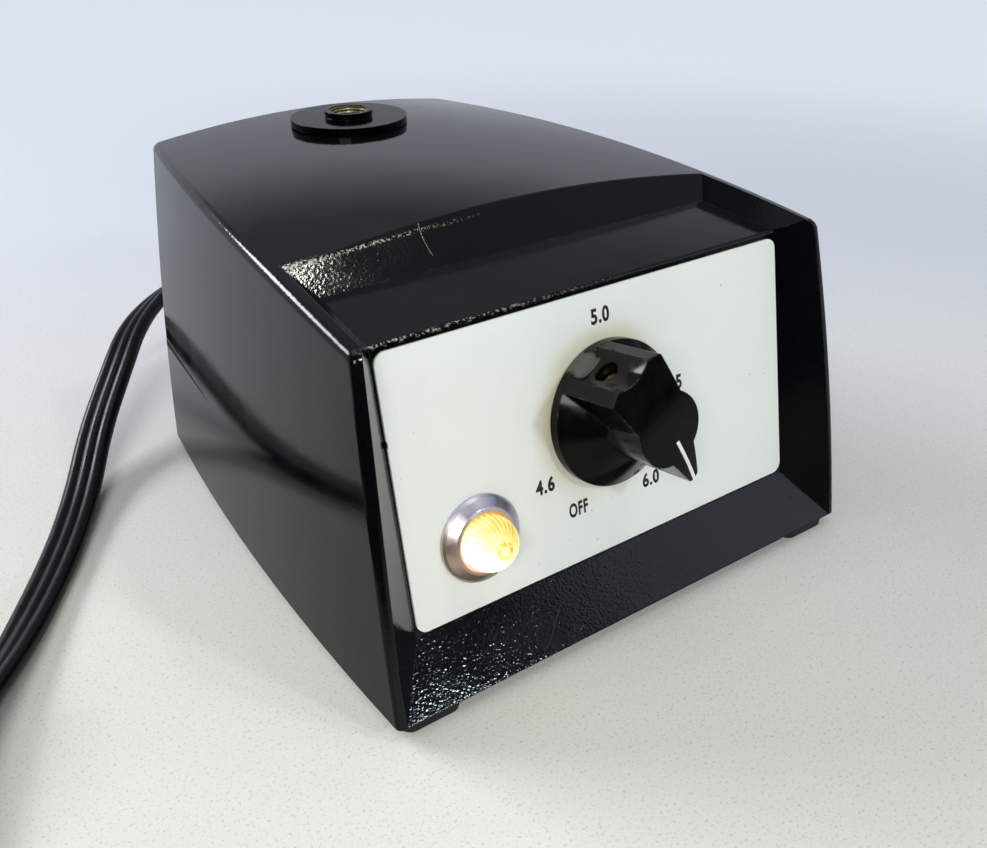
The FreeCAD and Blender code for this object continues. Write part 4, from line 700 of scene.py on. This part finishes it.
# the strap round the coil, in millimetres: half its inner width and height, its sheet and its lap
STRAP_ACROSS, STRAP_HIGH = 12.75, 4.9
STRAP_THICK, STRAP_WIDTH, STRAP_LAP = 0.5, 8.6, 0.62
STRAP_STEPS = 120
STRAP_WOUND = 1.07  # turns
STRAP_ANGLE = 140  # degrees round the coil
LAP_FROM, LAP_OVER = 2.15 * math.pi, 0.25 * math.pi
STRAP_SQUARE = 0.25  # the power that squares its rounded outline


def coil_points():
    """The coil's turns, clockwise from its east side, winding inwards on edge."""
    points = []
    for i in range(int(COIL_TURNS * POINTS_PER_TURN) + 1):
        turns = i / POINTS_PER_TURN
        angle = -2 * math.pi * turns
        radius = COIL_RADIUS - COIL_PITCH * turns
        points.append((COIL_CENTRE[0] + radius * math.cos(angle), COIL_CENTRE[1] + radius * math.sin(angle),
                       COIL_LEVEL, 90))
    return points


def spline_line(points):
    """The points of a smooth NURBS line through a cord's route."""
    curve = bpy.data.curves.new("route", "CURVE")
    curve.dimensions = "3D"
    curve.resolution_u = LINE_STEPS
    spline = curve.splines.new("NURBS")
    spline.points.add(len(points) - 1)
    for point, (x, y, z, _) in zip(spline.points, points):
        point.co = (x * MM, y * MM, z * MM, 1.0)
    spline.order_u = 3
    spline.use_endpoint_u = True
    carrier = link(bpy.data.objects.new("route", curve))
    bpy.context.view_layer.update()
    mesh = bpy.data.meshes.new_from_object(carrier)
    line = [v.co.copy() for v in mesh.vertices]
    bpy.data.objects.remove(carrier)
    return line


def rolls_along(line, points):
    """The roll at each point of a line, blended between its route's points and then smoothed."""
    marks, start = [], 0
    for point in points:
        spot = Vector(point[:3]) * MM
        ahead = range(start, min(len(line), start + ROLL_SEARCH))
        start = min(ahead, key=lambda i: (line[i] - spot).length)
        marks.append(start)
    rolls, part = [], 0
    for i in range(len(line)):
        while part < len(marks) - 2 and i > marks[part + 1]:
            part += 1
        low, high = marks[part], marks[part + 1]
        along = 0.0 if high == low else share((i - low) / (high - low))
        rolls.append(points[part][3] + (points[part + 1][3] - points[part][3]) * along)
    smooth = []
    for i in range(len(rolls)):
        near = rolls[max(0, i - ROLL_WINDOW):i + ROLL_WINDOW + 1]
        smooth.append(sum(near) / len(near))
    return smooth


def rib_outline():
    """Three round ribs side by side, as (across, up) pairs in millimetres."""
    radius, pitch = CORD_THICK / 2, (CORD_WIDTH - CORD_THICK) / 2
    valley = math.acos(pitch / 2 / radius)
    arcs = ((1, -(math.pi - valley), math.pi - valley), (0, valley, math.pi - valley),
            (-1, valley, 2 * math.pi - valley), (0, math.pi + valley, 2 * math.pi - valley))
    ring = []
    for rib, start, end in arcs:
        count = RIB_STEPS if rib == 0 else 2 * RIB_STEPS
        for i in range(count):
            angle = start + (end - start) * i / count
            ring.append((rib * pitch + radius * math.cos(angle), radius * math.sin(angle)))
    return ring


def squared(value, reach):
    """One coordinate of a rounded box's outline, from the cosine or the sine of its angle."""
    return math.copysign(abs(value) ** STRAP_SQUARE, value) * reach


def make_tie():
    """A thin woven strap wound once round the coil's turns, its end lapped over the top."""
    turn = math.radians(-STRAP_ANGLE)
    out = Vector((math.cos(turn), math.sin(turn), 0))
    along = Vector((-math.sin(turn), math.cos(turn), 0))
    middle_radius = COIL_RADIUS - COIL_PITCH * (STRAP_ANGLE / 360 + (COIL_TURNS - 0.5) / 2)
    middle = Vector((*COIL_CENTRE, COIL_LEVEL)) + out * middle_radius
    path = []
    for i in range(STRAP_STEPS + 1):
        angle = math.pi / 2 + 2 * math.pi * STRAP_WOUND * i / STRAP_STEPS
        lift = STRAP_LAP * share((angle - LAP_FROM) / LAP_OVER)
        path.append(Vector((squared(math.cos(angle), STRAP_ACROSS + lift),
                            squared(math.sin(angle), STRAP_HIGH + lift))))
    verts = []
    for i, spot in enumerate(path):
        way = (path[min(i + 1, STRAP_STEPS)] - path[max(i - 1, 0)]).normalized()
        outward = Vector((way.y, -way.x))
        for side, face in ((-0.5, -0.5), (0.5, -0.5), (0.5, 0.5), (-0.5, 0.5)):
            flat = spot + outward * face * STRAP_THICK
            verts.append((middle + out * flat.x + Vector((0, 0, flat.y)) + along * side * STRAP_WIDTH) * MM)
    tie = mesh_piece("coil_strap", verts, loft_faces(len(path), 4), WEBBING, smooth=False)
    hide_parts("coil_tie")
    return tie


def make_cord(tie):
    """The flat cord swept along its route, with its wide face rolled as the route says."""
    points = list(ROUTE) + coil_points() + list(TAIL)
    line = spline_line(points)
    rolls = rolls_along(line, points)
    ring = rib_outline()
    verts = []
    for i, spot in enumerate(line):
        way = (line[min(i + 1, len(line) - 1)] - line[max(i - 1, 0)]).normalized()
        side = Vector((0, 0, 1)).cross(way).normalized()
        up = way.cross(side).normalized()
        roll = math.radians(rolls[i])
        across = side * math.cos(roll) + up * math.sin(roll)
        over = way.cross(across).normalized()
        for a, u in ring:
            verts.append(spot + across * a * MM + over * u * MM)
    cord = mesh_piece("mains_cord", verts, loft_faces(len(line), len(ring)), CORD, "base")
    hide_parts("power_cord", "cord_coil", "cord_tail")


make_cord(make_tie())

# ------------------------------------------------------------------ floor and light

BACKDROP = (0.72, 0.775, 0.865, 1.0)
BEHIND_CAMERA = (-0.576, -0.817)  # the way from the object past the camera, on the floor
FLOOR_REACH = 4.0
SHADED_NEAR_EDGE = (0.012, 0.013, 0.016, 1.0)
ROOM_STOPS = (
    (0.0, (0.60, 0.64, 0.70)), (0.22, (0.56, 0.60, 0.67)), (0.34, (0.62, 0.66, 0.74)),
    (0.47, (0.19, 0.20, 0.23)), (0.60, (0.30, 0.32, 0.37)), (1.0, (0.24, 0.25, 0.28)),
)


def flat_glow(n, color):
    made = n.new("Emission")
    made.inputs["Color"].default_value = color
    made.inputs["Strength"].default_value = 1.0
    return made.outputs[0]


def blend_shaders(n, factor, a, b):
    made = n.new("MixShader")
    for socket, source in zip(made.inputs, (factor, a, b)):
        n.link(source, socket)
    return made.outputs[0]


def table_material():
    """A pale speckled table top that goes a little bluer away from the camera: painted light, warm near the
    camera and bluer further off.
    """
    n = Nodes("table_top")
    n.set(IOR=1.45)
    x, y, _ = n.split()
    # painted light: the table warmer near the camera and bluer away from it
    away = n.ramp(n.add(n.mul(x, 0.5), n.mul(y, 0.8)), -0.10, 0.24)
    tone = n.mix(away, (0.70, 0.685, 0.63), (0.625, 0.655, 0.73))
    speck = n.ramp(n.noise(1500, 2.5, 0.7), 0.56, 0.68)
    tone = n.mix(n.mul(speck, 0.6), tone, (0.40, 0.38, 0.34))
    fleck = n.ramp(n.noise(1500, 2.0, 0.6, stretch=(1.1, 0.9, 1.0)), 0.62, 0.72)
    n.color(n.mix(n.mul(fleck, 0.35), tone, (0.86, 0.86, 0.85)))
    n.rough(0.55)
    n.normal(n.bump(n.noise(700, 2.0, 0.6), 0.0001, 0.15))

    # further off, the table fades into a pale backdrop
    rays = n.new("LightPath").outputs
    seen = n.add(n.add(rays["Is Camera Ray"], rays["Is Glossy Ray"]), rays["Is Transmission Ray"], clamp=True)
    fade = n.mul(n.ramp(n.reach(x, y), 0.22, 0.62, 0.0, 0.95), seen)
    blend = blend_shaders(n, fade, n.shader.outputs[0], flat_glow(n, BACKDROP))
    # the near edge of the table, below the picture, is only ever seen mirrored in the black shell; there it
    # is painted shade, a dark emission standing in for the table in shadow
    near = n.add(n.mul(x, BEHIND_CAMERA[0]), n.mul(y, BEHIND_CAMERA[1]))
    dark = n.mul(n.ramp(near, 0.115, 0.20, 0.32, 1.0), rays["Is Glossy Ray"])
    n.link(blend_shaders(n, dark, blend, flat_glow(n, SHADED_NEAR_EDGE)), n.output.inputs["Surface"])
    return n.material


def make_floor():
    r = FLOOR_REACH
    mesh = bpy.data.meshes.new("floor")
    mesh.from_pydata([(-r, -r, 0), (r, -r, 0), (r, r, 0), (-r, r, 0)], [], [(0, 1, 2, 3)])
    mesh.materials.append(table_material())
    link(bpy.data.objects.new("floor", mesh))


def make_world():
    """A pale room: the ramp is what lights and mirrors, and the camera itself sees one blue-white."""
    world = bpy.data.worlds.new("world")
    bpy.context.scene.world = world
    world.use_nodes = True
    nodes, links = world.node_tree.nodes, world.node_tree.links
    back = nodes["Background"]
    from_middle = nodes.new("ShaderNodeTexCoord").outputs["Generated"]
    split = nodes.new("ShaderNodeSeparateXYZ")
    links.new(from_middle, split.inputs[0])
    ramp = nodes.new("ShaderNodeValToRGB")
    links.new(split.outputs["Z"], ramp.inputs[0])
    points = ramp.color_ramp.elements
    while len(points) < len(ROOM_STOPS):
        points.new(0.5)
    for point, (at, color) in zip(points, ROOM_STOPS):
        point.position = at
        point.color = (*color, 1.0)

    # the room behind the camera is dim, except where the camera itself would see it as a backdrop
    towards = nodes.new("ShaderNodeVectorMath")
    towards.operation = "DOT_PRODUCT"
    towards.inputs[1].default_value = (*BEHIND_CAMERA, 0.0)
    links.new(from_middle, towards.inputs[0])
    dim = nodes.new("ShaderNodeMapRange")
    dim.interpolation_type = "SMOOTHSTEP"
    for key, number in (("From Min", 0.05), ("From Max", 0.45), ("To Min", 1.0), ("To Max", 0.05)):
        dim.inputs[key].default_value = number
    links.new(towards.outputs["Value"], dim.inputs["Value"])
    to_camera = nodes.new("ShaderNodeLightPath").outputs["Is Camera Ray"]
    level = nodes.new("ShaderNodeMath")
    level.operation = "MAXIMUM"
    links.new(dim.outputs[0], level.inputs[0])
    links.new(to_camera, level.inputs[1])
    seen = nodes.new("ShaderNodeMix")
    seen.data_type = "RGBA"
    links.new(to_camera, seen.inputs[0])
    links.new(ramp.outputs["Color"], seen.inputs[6])
    seen.inputs[7].default_value = BACKDROP
    links.new(seen.outputs[2], back.inputs["Color"])
    links.new(level.outputs[0], back.inputs["Strength"])


# each lamp's place, the spot it faces, its width, height, power and colour
LAMPS = {
    "ceiling": ((-0.15, 0.15, 1.30), (-0.15, 0.15, 0), 0.9, 0.9, 3.2, (0.97, 0.985, 1.0)),
    "back_left": ((-0.60, 0.88, 0.64), (0, 0, 0.05), 0.66, 0.30, 12.0, (0.96, 0.98, 1.0)),
    "front_left": ((-0.45, -0.52, 0.40), (-0.04, -0.06, 0.30), 0.28, 0.22, 3.1, (1.0, 0.985, 0.95)),
    "lamp_front": ((0.33, -0.92, 0.52), (-0.03, -0.07, 0.01), 0.08, 0.08, 2.6, (0.80, 0.92, 1.0)),
    "lamp_above": ((0.325, -0.40, 1.04), (-0.03, -0.03, 0.08), 0.08, 0.06, 1.3, (1.0, 0.98, 0.88)),
    "sky_right": ((0.75, -0.75, 0.60), (0.02, -0.06, 0.01), 0.40, 0.40, 0.5, (0.72, 0.84, 1.0)),
}


def make_lamps():
    for name, (at, towards, width, height, power, color) in LAMPS.items():
        data = bpy.data.lights.new(name, "AREA")
        data.shape = "RECTANGLE"
        data.size, data.size_y = width, height
        data.energy = power
        data.color = color
        lamp = link(bpy.data.objects.new(name, data))
        lamp.location = at
        lamp.rotation_euler = (Vector(towards) - Vector(at)).to_track_quat("-Z", "Y").to_euler()


make_floor()
make_world()
make_lamps()

bpy.context.scene.view_settings.view_transform = "Standard"

bpy.context.view_layer.update()
